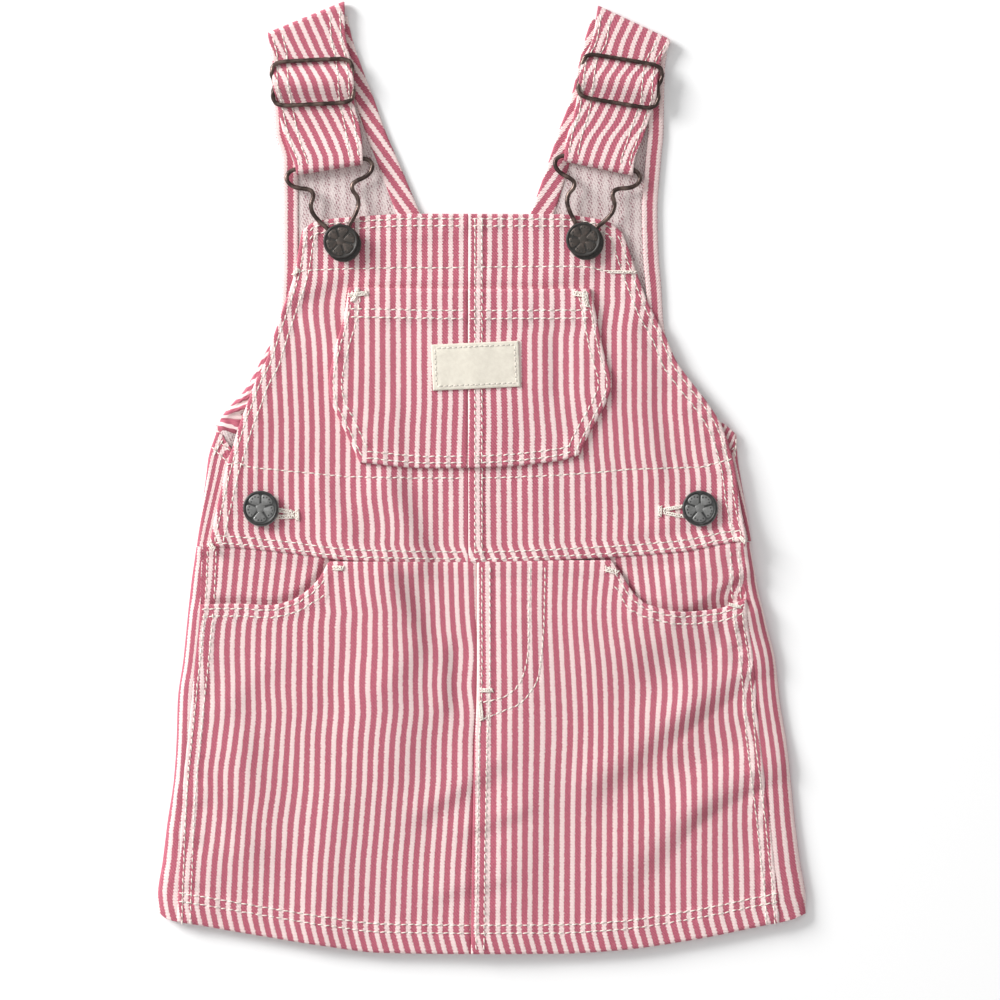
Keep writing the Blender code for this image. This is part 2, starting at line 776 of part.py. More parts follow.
def make_strap(side):
    """A strap: shoulder fold, slide, loop round the hook, and the end that returns under it."""
    creases = strap_creases(side)
    ups = [crease.up for crease in creases]
    crease_x = reader(ups, [crease.x for crease in creases])
    crease_slope = reader(ups, [crease.slope for crease in creases])
    start_y = creases[0].y
    left = column(STRAP_SECTIONS[side], "left")
    right = column(STRAP_SECTIONS[side], "right")
    slide_up = SLIDE_PLACE[side][1] - start_y
    profile = strap_profile(slide_up, creases[-1].up)
    over = []
    under = []
    for k, (up, height) in enumerate(profile):
        before = Vector(profile[max(k - 1, 0)])
        after = Vector(profile[min(k + 1, len(profile) - 1)])
        ahead = (after - before).normalized()
        out = Vector((-ahead.y, ahead.x)) * CLOTH / 2
        for grid, way in ((over, 1), (under, -1)):
            place = up + out.x * way
            row = []
            for u in shares(4):
                def x_at(y, u=u):
                    return left(y) + (right(y) - left(y)) * u

                def y_at(x, place=place):
                    return start_y + place + crease_slope(place) * (x - crease_x(place))
                x, y = meet(x_at, y_at, start_y + place)
                row.append((x, y, height + out.y * way))
            grid.append(row)
    add_wall("strap_" + side, over, under)


# ---------------------------------------------------------------- hardware
def make_slide(side):
    """The wire slide: a pinched frame with a bar across its middle."""
    ring = [(point.x, point.y) for point in SLIDE_QUARTER]
    ring += [(x, -y) for x, y in reversed(ring[:-1])]
    ring += [(-x, y) for x, y in reversed(ring[1:-1])]
    place = SLIDE_PLACE[side]
    tilt = SLIDE_TILT[side]
    ring = [(*turned_point(place, tilt, x, y), SLIDE_Z) for x, y in ring]
    points, faces = wire_mesh(smooth_path(ring, True, 2), WIRE / 2, True)
    slide = add_piece("slide_" + side, points, faces, "gunmetal")
    reach = SLIDE_QUARTER[-1].x
    bar = [Vector((*turned_point(place, tilt, x, 0.0), SLIDE_Z)) for x in (-reach, reach)]
    points, faces = wire_mesh(bar, CENTRE_BAR / 2, False)
    cutter = add_piece("slide_bar_" + side, points, faces, "gunmetal")
    cutter.hide_render = True
    cutter.display_type = "WIRE"
    join = slide.modifiers.new("join_bar", "BOOLEAN")
    join.operation = "UNION"
    join.object = cutter


def make_hook(side):
    """The wire hook: its bar in the strap's loop, its narrow end round the button's shank."""
    half = [(point.x, point.y) for point in HOOK_HALF]
    loop = half + [(-x, y) for x, y in reversed(half[1:-1])]
    button = BIB_BUTTONS[side]
    low_z = front_over(*button) + GAP * 2 + WIRE / 2
    path = []
    for x, y in loop:
        rise = min(max((y - HOOK_RISE_FROM) / (HOOK_LENGTH - HOOK_RISE_FROM), 0.0), 1.0)
        path.append((*turned_point(button, HOOK_TILT[side], x, y),
                     low_z + (HOOK_BAR_Z - low_z) * rise))
    points, faces = wire_mesh(smooth_path(path, True, 2), WIRE / 2, True)
    add_piece("hook_" + side, points, faces, "gunmetal")


def make_button(name, place, shank_height):
    """A tack button: its shank, a base plate set a little off centre and a dished cap."""
    rings = [
        Ring(SHANK_RADIUS, 0.0, 0.0),
        Ring(SHANK_RADIUS, shank_height, 0.0),
        Ring(BUTTON_RADIUS, shank_height, 0.7),
        Ring(BUTTON_RADIUS, shank_height + 0.5, 0.7),
        Ring(BUTTON_RADIUS - 0.9, shank_height + 0.6, 0.2),
        Ring(BUTTON_RADIUS - 0.5, shank_height + 0.9, 0.0),
        Ring(BUTTON_RADIUS - 0.4, shank_height + 1.5, 0.0),
        Ring(BUTTON_RADIUS - 1.3, shank_height + 1.7, 0.0),
        Ring(BUTTON_RADIUS - 1.7, shank_height + 1.4, 0.0),
    ]
    base_z = front_over(*place) + GAP
    points = []
    for ring in rings:
        for s in range(BUTTON_SIDES):
            angle = 2 * math.pi * s / BUTTON_SIDES
            points.append((place[0] + ring.shift + ring.radius * math.cos(angle),
                           place[1] - ring.shift + ring.radius * math.sin(angle),
                           base_z + ring.height))
    faces = [tuple(reversed(range(BUTTON_SIDES)))]
    for r in range(len(rings) - 1):
        for s in range(BUTTON_SIDES):
            a = r * BUTTON_SIDES + s
            b = r * BUTTON_SIDES + (s + 1) % BUTTON_SIDES
            faces.append((a, b, b + BUTTON_SIDES, a + BUTTON_SIDES))
    top = (len(rings) - 1) * BUTTON_SIDES
    faces.append(tuple(range(top, top + BUTTON_SIDES)))
    add_piece(name, points, faces, "gunmetal")


def centre_on_origin():
    """Move the whole garment so that the origin is under the middle of its box."""
    pieces = list(bpy.context.scene.objects)
    corners = [point.co for piece in pieces for point in piece.data.vertices]
    middle_x = (min(c.x for c in corners) + max(c.x for c in corners)) / 2
    middle_y = (min(c.y for c in corners) + max(c.y for c in corners)) / 2
    lowest = min(c.z for c in corners)
    shift = Matrix.Translation((-middle_x, -middle_y, -lowest))
    for piece in pieces:
        piece.data.transform(shift)


def main():
    for piece in list(bpy.data.objects):
        bpy.data.objects.remove(piece, do_unlink=True)
    for side in ("left", "right"):
        make_vest_back(side)
        make_button_stand(side)
        make_skirt_back(side)
        make_pocket_facing(side)
        make_skirt_front(side)
        make_bib(side)
        make_bib_pocket(side)
        make_strap(side)
        make_slide(side)
        make_hook(side)
        make_button("bib_button_" + side, BIB_BUTTONS[side], WIRE + GAP * 3)
        make_button("side_button_" + side, SIDE_BUTTONS[side], 0.8)
    make_label()
    centre_on_origin()


main()
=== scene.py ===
"""The looks of a baby's overall skirt in striped twill, laid flat on a white table.

Left and right are as seen from the front.  Sizes are in millimetres in the garment's own
draft, with +X to the right, +Y up the garment and +Z up from the table.
"""

import json
import math
from collections import namedtuple

import bpy
import numpy as np
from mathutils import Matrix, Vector

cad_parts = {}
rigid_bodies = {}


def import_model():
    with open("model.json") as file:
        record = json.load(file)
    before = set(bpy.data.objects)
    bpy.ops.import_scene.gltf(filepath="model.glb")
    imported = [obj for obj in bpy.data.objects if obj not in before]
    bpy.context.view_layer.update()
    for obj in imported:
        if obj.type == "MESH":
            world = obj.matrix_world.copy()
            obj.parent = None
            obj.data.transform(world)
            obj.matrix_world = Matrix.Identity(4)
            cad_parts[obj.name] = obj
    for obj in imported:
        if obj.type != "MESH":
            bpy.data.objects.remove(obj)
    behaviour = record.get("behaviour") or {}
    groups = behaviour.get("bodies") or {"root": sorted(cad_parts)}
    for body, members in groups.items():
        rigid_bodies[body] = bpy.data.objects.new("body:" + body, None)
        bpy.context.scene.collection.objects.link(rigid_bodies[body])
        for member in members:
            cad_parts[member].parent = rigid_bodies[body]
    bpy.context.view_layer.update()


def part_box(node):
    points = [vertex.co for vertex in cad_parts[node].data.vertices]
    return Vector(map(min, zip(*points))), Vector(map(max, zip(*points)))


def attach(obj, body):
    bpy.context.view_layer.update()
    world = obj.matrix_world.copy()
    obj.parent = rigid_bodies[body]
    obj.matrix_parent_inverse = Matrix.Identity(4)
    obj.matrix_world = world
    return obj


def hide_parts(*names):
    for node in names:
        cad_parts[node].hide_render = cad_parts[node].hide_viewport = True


for leftover in list(bpy.data.objects):
    bpy.data.objects.remove(leftover, do_unlink=True)
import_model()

# ---------------------------------------------------------------- table, camera and light
# The garment lies on a white table and is photographed from straight above with a long
# lens.  A wide soft light stands at its upper left, and the white room fills the shadows.
MM = 0.001
LABEL_PLACE = (-2.3, 44.6)
VIEW_MIDDLE = (7.4, -9.0)
VIEW_WIDTH = 400.0
CAMERA_HEIGHT = 2600.0
FILM_WIDTH = 36.0
TABLE_SIZE = 6.0
TABLE_DROP = 0.0002
TABLE_COLOUR = (0.99, 0.99, 0.99, 1.0)
ROOM_COLOUR = (1.0, 1.0, 1.0, 1.0)
ROOM_STRENGTH = 0.51

label_low, label_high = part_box("label")
DRAFT_SHIFT = np.array([
    (label_low.x + label_high.x) / 2 / MM - LABEL_PLACE[0],
    (label_low.y + label_high.y) / 2 / MM - LABEL_PLACE[1],
    0.0,
])


def to_frame(points):
    """Draft millimetres to the frame's metres."""
    return (np.asarray(points, dtype=float) + DRAFT_SHIFT) * MM


def add_object(name, data):
    """A new object in the scene."""
    thing = bpy.data.objects.new(name, data)
    bpy.context.scene.collection.objects.link(thing)
    return thing


def plain_material(name, colour, roughness):
    """A new material with one Principled shader; gives the material and that shader."""
    material = bpy.data.materials.new(name)
    material.use_nodes = True
    shader = material.node_tree.nodes["Principled BSDF"]
    shader.inputs["Base Color"].default_value = colour
    shader.inputs["Roughness"].default_value = roughness
    return material, shader


def add_light(name, place, energy, size):
    """A square soft light that faces the middle of the garment."""
    lamp = bpy.data.lights.new(name, "AREA")
    lamp.energy = energy
    lamp.size = size
    light = add_object(name, lamp)
    light.location = place
    light.rotation_euler = (-Vector(place)).to_track_quat("-Z", "Y").to_euler()


table_mesh = bpy.data.meshes.new("table_top")
half = TABLE_SIZE / 2
corners = ((-half, -half), (half, -half), (half, half), (-half, half))
table_mesh.from_pydata([(x, y, -TABLE_DROP) for x, y in corners], [], [(0, 1, 2, 3)])
table_mesh.materials.append(plain_material("white_table", TABLE_COLOUR, 0.9)[0])
add_object("table_top", table_mesh)

camera_data = bpy.data.cameras.new("view_from_above")
camera_data.sensor_width = FILM_WIDTH
camera_data.lens = FILM_WIDTH * CAMERA_HEIGHT / VIEW_WIDTH
camera_data.clip_end = 20.0
camera = add_object("view_from_above", camera_data)
camera.location = to_frame((*VIEW_MIDDLE, CAMERA_HEIGHT))
bpy.context.scene.camera = camera

add_light("window", (-2.25, 1.29, 1.17), energy=107.8, size=1.2)
add_light("fill", (-0.8, 0.2, 2.2), energy=5.8, size=2.2)
room = bpy.data.worlds.new("white_room")
room.use_nodes = True
room.node_tree.nodes["Background"].inputs["Color"].default_value = ROOM_COLOUR
room.node_tree.nodes["Background"].inputs["Strength"].default_value = ROOM_STRENGTH
bpy.context.scene.world = room
bpy.context.scene.view_settings.view_transform = "Standard"

# ---------------------------------------------------------------- high back, in two halves
# The back above the waist, cut from pink and cream striped twill and lying with its right
# side down.  It shows its flecked wrong side, with the armholes and the V neck turned in.
SIDES = {"left": -1, "right": 1}
CLOTH = 1.1
GAP = 0.3
STRIPE = 4.2
CREAM_SHARE = 0.44
CLOTH_STEP = 1.0
MEET_STEPS = 12
TURN_ROUND = 1.1
PINK = (0.57, 0.158, 0.215, 1.0)
DEEP_PINK = (0.39, 0.085, 0.128, 1.0)
CREAM = (0.90, 0.712, 0.690, 1.0)
WRONG_GROUND = (0.82, 0.725, 0.70, 1.0)
WRONG_FLECK = (0.37, 0.155, 0.19, 1.0)
ROPE_TURN = 1.22
FLECK_WIDTH = 1.04
FLECK_LENGTH = 1.75
ARMHOLE_TURN = 6.2
HEM_CLOTH = 0.55
STRAP_BACK_LEG = 6.0
NECK_LEAN = math.radians(36)
NECK_TURN_LOW = 80.0
ARMHOLE_TURN_LOW = 34.0
ROLL_WIDTH = 13.0
ROLL_LOW = 17.4
ROLL_PLEAT = 4.4


def table_of(columns, defaults=()):
    """A maker of short tables whose rows have the named columns."""
    Row = namedtuple("Row", columns, defaults=defaults)
    return lambda *rows: [Row(*row) for row in rows]


points_of = table_of("x y")
folds_of = table_of("start_x start_y end_x end_y width height")
VEST_SECTIONS = table_of("y armhole_left neck_left neck_right armhole_right")(
    (-36, -104, -0.15, 0.15, 99),
    (0, -101, -0.15, 0.15, 94.6),
    (8, -98.8, -0.15, 0.15, 93.4),
    (17, -97.4, -0.15, 0.15, 92.8),
    (25, -98.4, -0.15, 0.15, 92.4),
    (31, -95.6, -0.15, 0.15, 88),
    (43, -86.5, -0.15, 0.15, 78.5),
    (57, -81.8, -0.15, 0.15, 73.6),
    (64, -80.8, -0.4, 0.4, 72.6),
    (75, -79.8, -8.6, 5, 72),
    (90, -79.4, -17.2, 12.6, 70.8),
    (106, -79.4, -24.6, 19.6, 70.4),
    (127, -79.6, -33.4, 27, 71.8),
    (138, -82.6, -38.2, 30.6, 72.8),
    (151, -83.2, -42.8, 35.4, 73),
    (164, -83.6, -47.8, 38.6, 73.4),
    (177, -85.4, -52, 41.8, 75.2),
    (190, -84.8, -54.6, 46.6, 75.2))
BACK_WAIST_LINE = points_of((-116, -27.4), (-104, -27.8), (0, -27.8), (103, -25.6), (112, -25.2))
Crease = namedtuple("Crease", "up x y slope")
SHOULDER_FOLD = {"left": Crease(0, -70.6, 184.0, 0.41), "right": Crease(0, 61.4, 181.8, -0.47)}
VEST_CREASES = folds_of(
    (-62, 150, -56, 112, 6, 0.35), (-74, 118, -50, 104, 5, -0.3), (50, 146, 44, 116, 6, 0.35),
    (64, 112, 40, 100, 5, -0.3))
ROLLED_ARMHOLE = table_of("y edge stripe climb")(
    (16, -105.8, 26.9, -0.3), (20, -105.6, 24, -0.25), (23, -104.4, 19.8, -0.1),
    (25.7, -102.8, 15.6, 0.25), (29.7, -99.4, 11.4, 0.5), (34.3, -95.2, 7.2, 0.8),
    (39.8, -91.8, 3, 0.95), (48.2, -87.4, -3.5, 1.2), (57, -82.2, -10, 1.4))


def add_node(tree, kind, inputs, **options):
    """Add a shader node; inputs are values or sockets, by name or by place."""
    node = tree.nodes.new("ShaderNode" + kind)
    for option, value in options.items():
        setattr(node, option, value)
    for place, feed in inputs.items():
        feed = getattr(feed, "socket", feed)
        if isinstance(feed, bpy.types.NodeSocket):
            tree.links.new(feed, node.inputs[place])
        else:
            node.inputs[place].default_value = feed
    return node


class Channel:
    """A value that changes over the surface; sums and products with it are Math nodes."""

    def __init__(self, socket):
        self.socket = socket

    def math(self, operation, *feeds):
        tree = self.socket.id_data
        return Channel(add_node(tree, "Math", dict(enumerate(feeds)), operation=operation).outputs[0])

    def __add__(self, other):
        return self.math("ADD", self, other)

    def __radd__(self, other):
        return self.math("ADD", other, self)

    def __sub__(self, other):
        return self.math("SUBTRACT", self, other)

    def __rsub__(self, other):
        return self.math("SUBTRACT", other, self)

    def __mul__(self, other):
        return self.math("MULTIPLY", self, other)

    def __truediv__(self, other):
        return self.math("DIVIDE", self, other)

    def __abs__(self):
        return self.math("ABSOLUTE", self)

    def sine(self):
        return self.math("SINE", self)

    def fraction(self):
        return self.math("FRACT", self)

    def whole(self):
        return self.math("FLOOR", self)


def blend_colours(tree, share, first, second):
    """A colour between two, by a share from 0 to 1."""
    return add_node(tree, "Mix", {0: share, 6: first, 7: second}, data_type="RGBA").outputs[2]


def ramp(value, low, high):
    """0 below low and 1 above high, eased between them; low may be above high."""
    start = float(low > high)
    limits = {"From Min": min(low, high), "From Max": max(low, high), "To Min": start, "To Max": 1 - start}
    return Channel(add_node(value.socket.id_data, "MapRange", {"Value": value, **limits},
                            interpolation_type="SMOOTHSTEP").outputs[0])


def noise(place, scale, detail=2.0):
    """Soft noise, 0 to 1, with scale in features for each millimetre of the place."""
    node = add_node(place.socket.id_data, "TexNoise", {"Vector": place, "Scale": scale, "Detail": detail})
    return Channel(node.outputs[0])


def add_relief(shader, height, strength, depth):
    """Feed a height that changes over the surface to a shader's normal."""
    relief = add_node(shader.id_data, "Bump", {"Height": height, "Strength": strength,
                                               "Distance": depth * MM})
    shader.id_data.links.new(relief.outputs["Normal"], shader.inputs["Normal"])


def effect_group(name, inputs, outputs, effect):
    """A node group from a place on a piece to an effect's colours and values there."""
    group = bpy.data.node_groups.new(name, "ShaderNodeTree")
    for way, sockets in (("INPUT", {"Place": "Vector", **inputs}), ("OUTPUT", outputs)):
        for label, kind in sockets.items():
            group.interface.new_socket(name=label, in_out=way, socket_type="NodeSocket" + kind)
    given = group.nodes.new("NodeGroupInput").outputs
    given = {label: Channel(given[label]) for label in ("Place", *inputs)}
    result = group.nodes.new("NodeGroupOutput").inputs
    for label, feed in zip(outputs, effect(group, given)):
        group.links.new(getattr(feed, "socket", feed), result[label])
    return group


def weave_group(name, inputs, weave):
    """A node group from the cloth's own place in mm to its colour and its height."""
    def effect(group, given):
        """The weave, with the two ways of its place read apart."""
        split = add_node(group, "SeparateXYZ", {0: given["Place"]}).outputs
        return weave(group, given, Channel(split[0]), Channel(split[1]))
    return effect_group(name, inputs, {"Colour": "Color", "Height": "Float"}, effect)


def right_side_weave(tree, given, across, along):
    """Cream cords with rope-like edges on a fine pink twill."""
    place = given["Place"]
    pink, cream, cream_share = given["Pink"], given["Cream"], given["Cream Share"]
    twist = across * 1.4 + noise(place, 0.45) * 5.0
    rope = (along * (2 * math.pi / ROPE_TURN) + twist).sine()
    moved = across + (rope * 0.16 + (noise(place, 1.1) - 0.5) * 0.9)
    phase = (moved / given["Stripe"] + (0.5 - cream_share * 0.5)).fraction()
    inside = ramp(cream_share * 0.5 - abs(phase - 0.5), -0.022, 0.022)
    ribs = ((across + along * 0.8) * 5.6).sine()
    mottle = noise(place, 1.7, 4.0)
    # The pink deepens in random patches and, a little, in painted shade between the twill's ribs.
    dusk = ramp(mottle * 1.1 + ribs * 0.13, 0.3, 0.78)
    pink_twill = blend_colours(tree, dusk, given["Deep Pink"], pink)
    # The cream dulls towards pink in random patches and, along the rope's twist, in painted shade.
    shade = ramp(rope * 0.2 + mottle, 0.15, 0.6)
    cord = blend_colours(tree, shade, blend_colours(tree, 0.14, cream, pink), cream)
    cord_height = inside * (0.75 + rope * 0.25)
    height = cord_height * 0.8 + ((ribs + 1.0) * 0.22 + mottle * 0.5)
    return blend_colours(tree, inside, pink_twill, cord), height


def wrong_side_weave(tree, given, across, along):
    """A pale ground with slanting pink dashes, most of them in columns."""
    place = given["Place"]

    def near_middle(value, outer, inner):
        """1 in the middle of each whole step of a value and 0 at its ends."""
        return ramp(abs(value.fraction() - 0.5), outer, inner)

    wander = noise(place, 0.5) * 1.6
    fleck_across = (across + along * 0.42 + wander) / FLECK_WIDTH
    fleck_along = along / FLECK_LENGTH + fleck_across.whole() * 0.39
    stripe = near_middle((across + wander) / given["Stripe"], 0.36, 0.14)
    present = ramp(noise(place, 0.9, 3.0), 0.30, 0.52) * (stripe * 0.6 + 0.4)
    fleck = near_middle(fleck_across, 0.29, 0.14) * near_middle(fleck_along, 0.42, 0.28) * present
    bloom = noise(place, 0.16, 2.0) * 0.16 + stripe * 0.12
    ground = blend_colours(tree, bloom, given["Ground"], given["Fleck"])
    height = (0.8 - fleck * 0.8) + noise(place, 2.4) * 0.6
    return blend_colours(tree, fleck * 0.85, ground, given["Fleck"]), height


def cloth_material(name, group, values, roughness, bump):
    """A cloth whose colour and surface come from a group that reads the cloth's own place."""
    material, shader = plain_material(name, CREAM, roughness)
    tree = material.node_tree
    shader.inputs["Specular IOR Level"].default_value = 0.25
    shader.inputs["Sheen Weight"].default_value = 0.22
    shader.inputs["Sheen Roughness"].default_value = 0.5
    chart = add_node(tree, "UVMap", {}, uv_map="cloth_mm").outputs[0]
    weave = add_node(tree, "Group", {"Place": chart, **values}, node_tree=group).outputs
    add_relief(shader, weave["Height"], bump, 0.25)
    tree.links.new(weave["Colour"], shader.inputs["Base Color"])
    return material


right_group = weave_group(
    "twill_right_side", {"Pink": "Color", "Deep Pink": "Color", "Cream": "Color", "Stripe": "Float",
                         "Cream Share": "Float"}, right_side_weave)
right_side = cloth_material(
    "striped_twill", right_group, {"Pink": PINK, "Deep Pink": DEEP_PINK, "Cream": CREAM,
                                   "Stripe": STRIPE, "Cream Share": CREAM_SHARE}, 0.86, 0.75)
wrong_group = weave_group(
    "twill_wrong_side", {"Ground": "Color", "Fleck": "Color", "Stripe": "Float"}, wrong_side_weave)
wrong_side = cloth_material(
    "twill_inside", wrong_group,
    {"Ground": WRONG_GROUND, "Fleck": WRONG_FLECK, "Stripe": STRIPE}, 0.9, 0.9)


def column(rows, name, at="y"):
    """One column of a table, read anywhere on a smooth curve with no overshoot."""
    rows = sorted(rows, key=lambda row: getattr(row, at))
    places = np.array([getattr(row, at) for row in rows], dtype=float)
    levels = np.array([getattr(row, name) for row in rows], dtype=float)
    steps = np.diff(places)
    rises = np.diff(levels) / steps
    together = rises[:-1] * rises[1:]
    both = np.where(together > 0, rises[:-1] + rises[1:], 1.0)
    slopes = np.concatenate([rises[:1], np.where(together > 0, 2 * together / both, 0.0), rises[-1:]])

    def read(place):
        place = np.clip(place, places[0], places[-1])
        k = np.clip(np.searchsorted(places, place) - 1, 0, len(steps) - 1)
        t = (place - places[k]) / steps[k]
        return (levels[k] * (1 + 2 * t) * (1 - t) ** 2 + levels[k + 1] * t * t * (3 - 2 * t)
                + steps[k] * slopes[k] * t * (1 - t) ** 2 - steps[k] * slopes[k + 1] * t * t * (1 - t))
    return read


def line(points):
    """A line across the garment, as a function that gives y at any x."""
    return column(points, "y", at="x")


def straight(level):
    """An edge or line that stays at one level."""
    return lambda place: level + 0 * place


def shifted(curve, amount):
    """The same edge or line, moved by a fixed amount."""
    return lambda place: curve(place) + amount


def between(low, high, share):
    """A line part of the way from one line to another."""
    return lambda place: low(place) + (high(place) - low(place)) * share


def ordered(side, outer, inner):
    """A panel's two edges, the left one first."""
    return (outer, inner) if side == "left" else (inner, outer)


def edged_shares(length, step=CLOTH_STEP):
    """Shares from 0 to 1, about step apart, and closer where the cloth's edges turn round."""
    turn = np.array([0.0, 0.2, 0.55, TURN_ROUND]) / length
    count = max(int(round((1 - 2 * turn[-1]) * length / step)), 1)
    middle = np.linspace(turn[-1], 1 - turn[-1], count + 1)
    return np.concatenate([turn[:-1], middle, 1 - turn[-2::-1]])


def draft(edges, bottom, top, across, up):
    """Plan points of a panel between two edges x(y) and two lines y(x)."""
    left, right = edges
    u, v = np.meshgrid(across, up)
    y = np.full_like(u, (bottom(0.0) + top(0.0)) / 2)
    for _ in range(MEET_STEPS):
        x = left(y) + (right(y) - left(y)) * u
        y = bottom(x) + (top(x) - bottom(x)) * v
    return x, y


def off_edge(edge, x, y):
    """How far points lie to the right of an edge x(y), square to it."""
    slope = edge(y + 0.5) - edge(y - 0.5)
    return (x - edge(y)) / np.sqrt(1 + slope ** 2)


def off_line(line_at, x, y):
    """How far points lie above a line y(x), square to it."""
    return off_edge(line_at, y, x)


def side_room(edges, x, y, slack=0.0):
    """How far points lie inside the nearer of a panel's two edges."""
    return np.minimum(off_edge(edges[0], x, y), slack - off_edge(edges[1], x, y))


def off_run(x, y, start_x, start_y, end_x, end_y):
    """How far points lie off a straight run, to the right and up, and their share of its way."""
    run_x, run_y = end_x - start_x, end_y - start_y
    share = ((x - start_x) * run_x + (y - start_y) * run_y) / (run_x ** 2 + run_y ** 2)
    share = np.clip(share, 0.0, 1.0)
    return x - start_x - run_x * share, y - start_y - run_y * share, share


def fold_height(folds, x, y):
    """How far the soft ridges and troughs move the cloth."""
    total = np.zeros(np.shape(x))
    for fold in folds:
        away_x, away_y, _ = off_run(x, y, *fold[:4])
        total += fold.height * np.exp(-(np.hypot(away_x, away_y) / fold.width) ** 2)
    return total


def eased(value, low, high):
    """0 at low and 1 at high, eased between them; low may be above high."""
    share = np.clip((value - low) / (high - low), 0.0, 1.0)
    return share * share * (3 - 2 * share)


def turned_thickness(away, least=0.45):
    """Share of the cloth's thickness near an edge that is turned round, away from the edge."""
    share = np.clip(away / TURN_ROUND, 0.0, 1.0)
    return least + (1 - least) * np.sqrt(1 - (1 - share) ** 2)


def grid_of(*numbers):
    """One grid of points from grids of numbers."""
    return np.stack(np.broadcast_arrays(*numbers), axis=-1)


def place_mesh(name, points, faces, materials, kinds=()):
    """Make a smooth object of draft points and faces, riding on the garment."""
    mesh = bpy.data.meshes.new(name)
    mesh.from_pydata(to_frame(points).tolist(), [], faces)
    mesh.shade_smooth()
    for material in materials:
        mesh.materials.append(material)
    if len(kinds):
        mesh.polygons.foreach_set("material_index", np.array(kinds, dtype=np.int32))
    piece = add_object(name, mesh)
    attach(piece, "root")
    return piece


def add_cloth(name, over, under, chart, outside=right_side, inside=wrong_side):
    """A closed shell of cloth between two grids; chart is where the weave is, in mm."""
    rows, columns = over.shape[:2]
    points = np.concatenate([over.reshape(-1, 3), under.reshape(-1, 3)])
    index = np.arange(rows * columns).reshape(rows, columns)
    low = index + rows * columns
    a, b, c, d = index[:-1, :-1], index[:-1, 1:], index[1:, 1:], index[1:, :-1]
    outer = grid_of(a, b, c, d).reshape(-1, 4)
    inner = grid_of(a, d, c, b).reshape(-1, 4) + rows * columns
    rim = np.concatenate([
        grid_of(index[0, 1:], index[0, :-1], low[0, :-1], low[0, 1:]),
        grid_of(index[-1, :-1], index[-1, 1:], low[-1, 1:], low[-1, :-1]),
        grid_of(index[:-1, 0], index[1:, 0], low[1:, 0], low[:-1, 0]),
        grid_of(index[1:, -1], index[:-1, -1], low[:-1, -1], low[1:, -1]),
    ])
    faces = np.concatenate([outer, rim, inner])
    kinds = [0] * (len(outer) + len(rim)) + [1] * len(inner)
    piece = place_mesh(name, points, faces.tolist(), [outside, inside], kinds)
    chart_points = np.tile(chart.reshape(-1, 2), (2, 1))
    layer = piece.data.uv_layers.new(name="cloth_mm")
    layer.data.foreach_set("uv", chart_points[faces.reshape(-1)].reshape(-1))
    return piece


def add_panel(name, x, y, over, under, stripes, **faces):
    """Cloth over a plan, between two heights; stripes is how far across its stripes it lies."""
    return add_cloth(name, grid_of(x, y, over), grid_of(x, y, under), grid_of(stripes, y), **faces)


def vest_over(x, y):
    """Height of the upper face of the high back."""
    return CLOTH + fold_height(VEST_CREASES, x, y) * 0.6


def hem_strip(name, edges, low, high, lift, stripes):
    """A turned-in edge that lies on the wrong side of the back between two edges."""
    x, y = draft(edges, straight(low), high, edged_shares(6, 0.8), edged_shares(110, 1.2))
    base = vest_over(x, y) + 0.02 + lift(x, y)
    over = base + HEM_CLOTH * turned_thickness(side_room(edges, x, y), 0.3)
    return add_panel(name, x, y, over, base, stripes(x, y))


def rolled_armhole():
    """The turned edge of the left armhole, rolled over in small pleats below the bib."""
    rolled_edge, stripe, climb = (column(ROLLED_ARMHOLE, name) for name in ("edge", "stripe", "climb"))
    x, y = draft((rolled_edge, shifted(rolled_edge, ROLL_WIDTH)), straight(ROLL_LOW), straight(56.0),
                 edged_shares(ROLL_WIDTH, 0.5), edged_shares(38, 0.4))
    along = y - climb(y) * (x - rolled_edge(y))
    roll = 1.75 + 0.7 * eased(y, 48.0, 36.0) + 0.2 * eased(y, 36.0, 30.0)
    roll = roll + 0.6 * np.cos(2 * math.pi * (along - 21.2) / ROLL_PLEAT) * eased(along, 31.0, 27.0)
    room = np.minimum(np.minimum(x - rolled_edge(y), 3.0), (y - ROLL_LOW) * 1.2)
    roll = 1.2 + (roll - 1.2) * np.sqrt(np.clip(room / 2.2, 0.0, 1.0))
    return add_panel("armhole_roll", x, y, roll, roll - 0.5, stripe(along))


def armhole_hollow():
    """The small piece of the back's wrong side that shows in the hollow under the roll."""
    x, y = draft((straight(-106.2), straight(-94.0)), straight(8.0), straight(21.0),
                 edged_shares(12), edged_shares(13))
    hollow = 1.25 + 0.24 * np.clip(np.minimum(-98.0 - x, 1.2 * (x + 106.2)), 0.0, None)
    return add_panel("armhole_hollow", x, y, hollow, hollow - 0.4, x, outside=wrong_side)


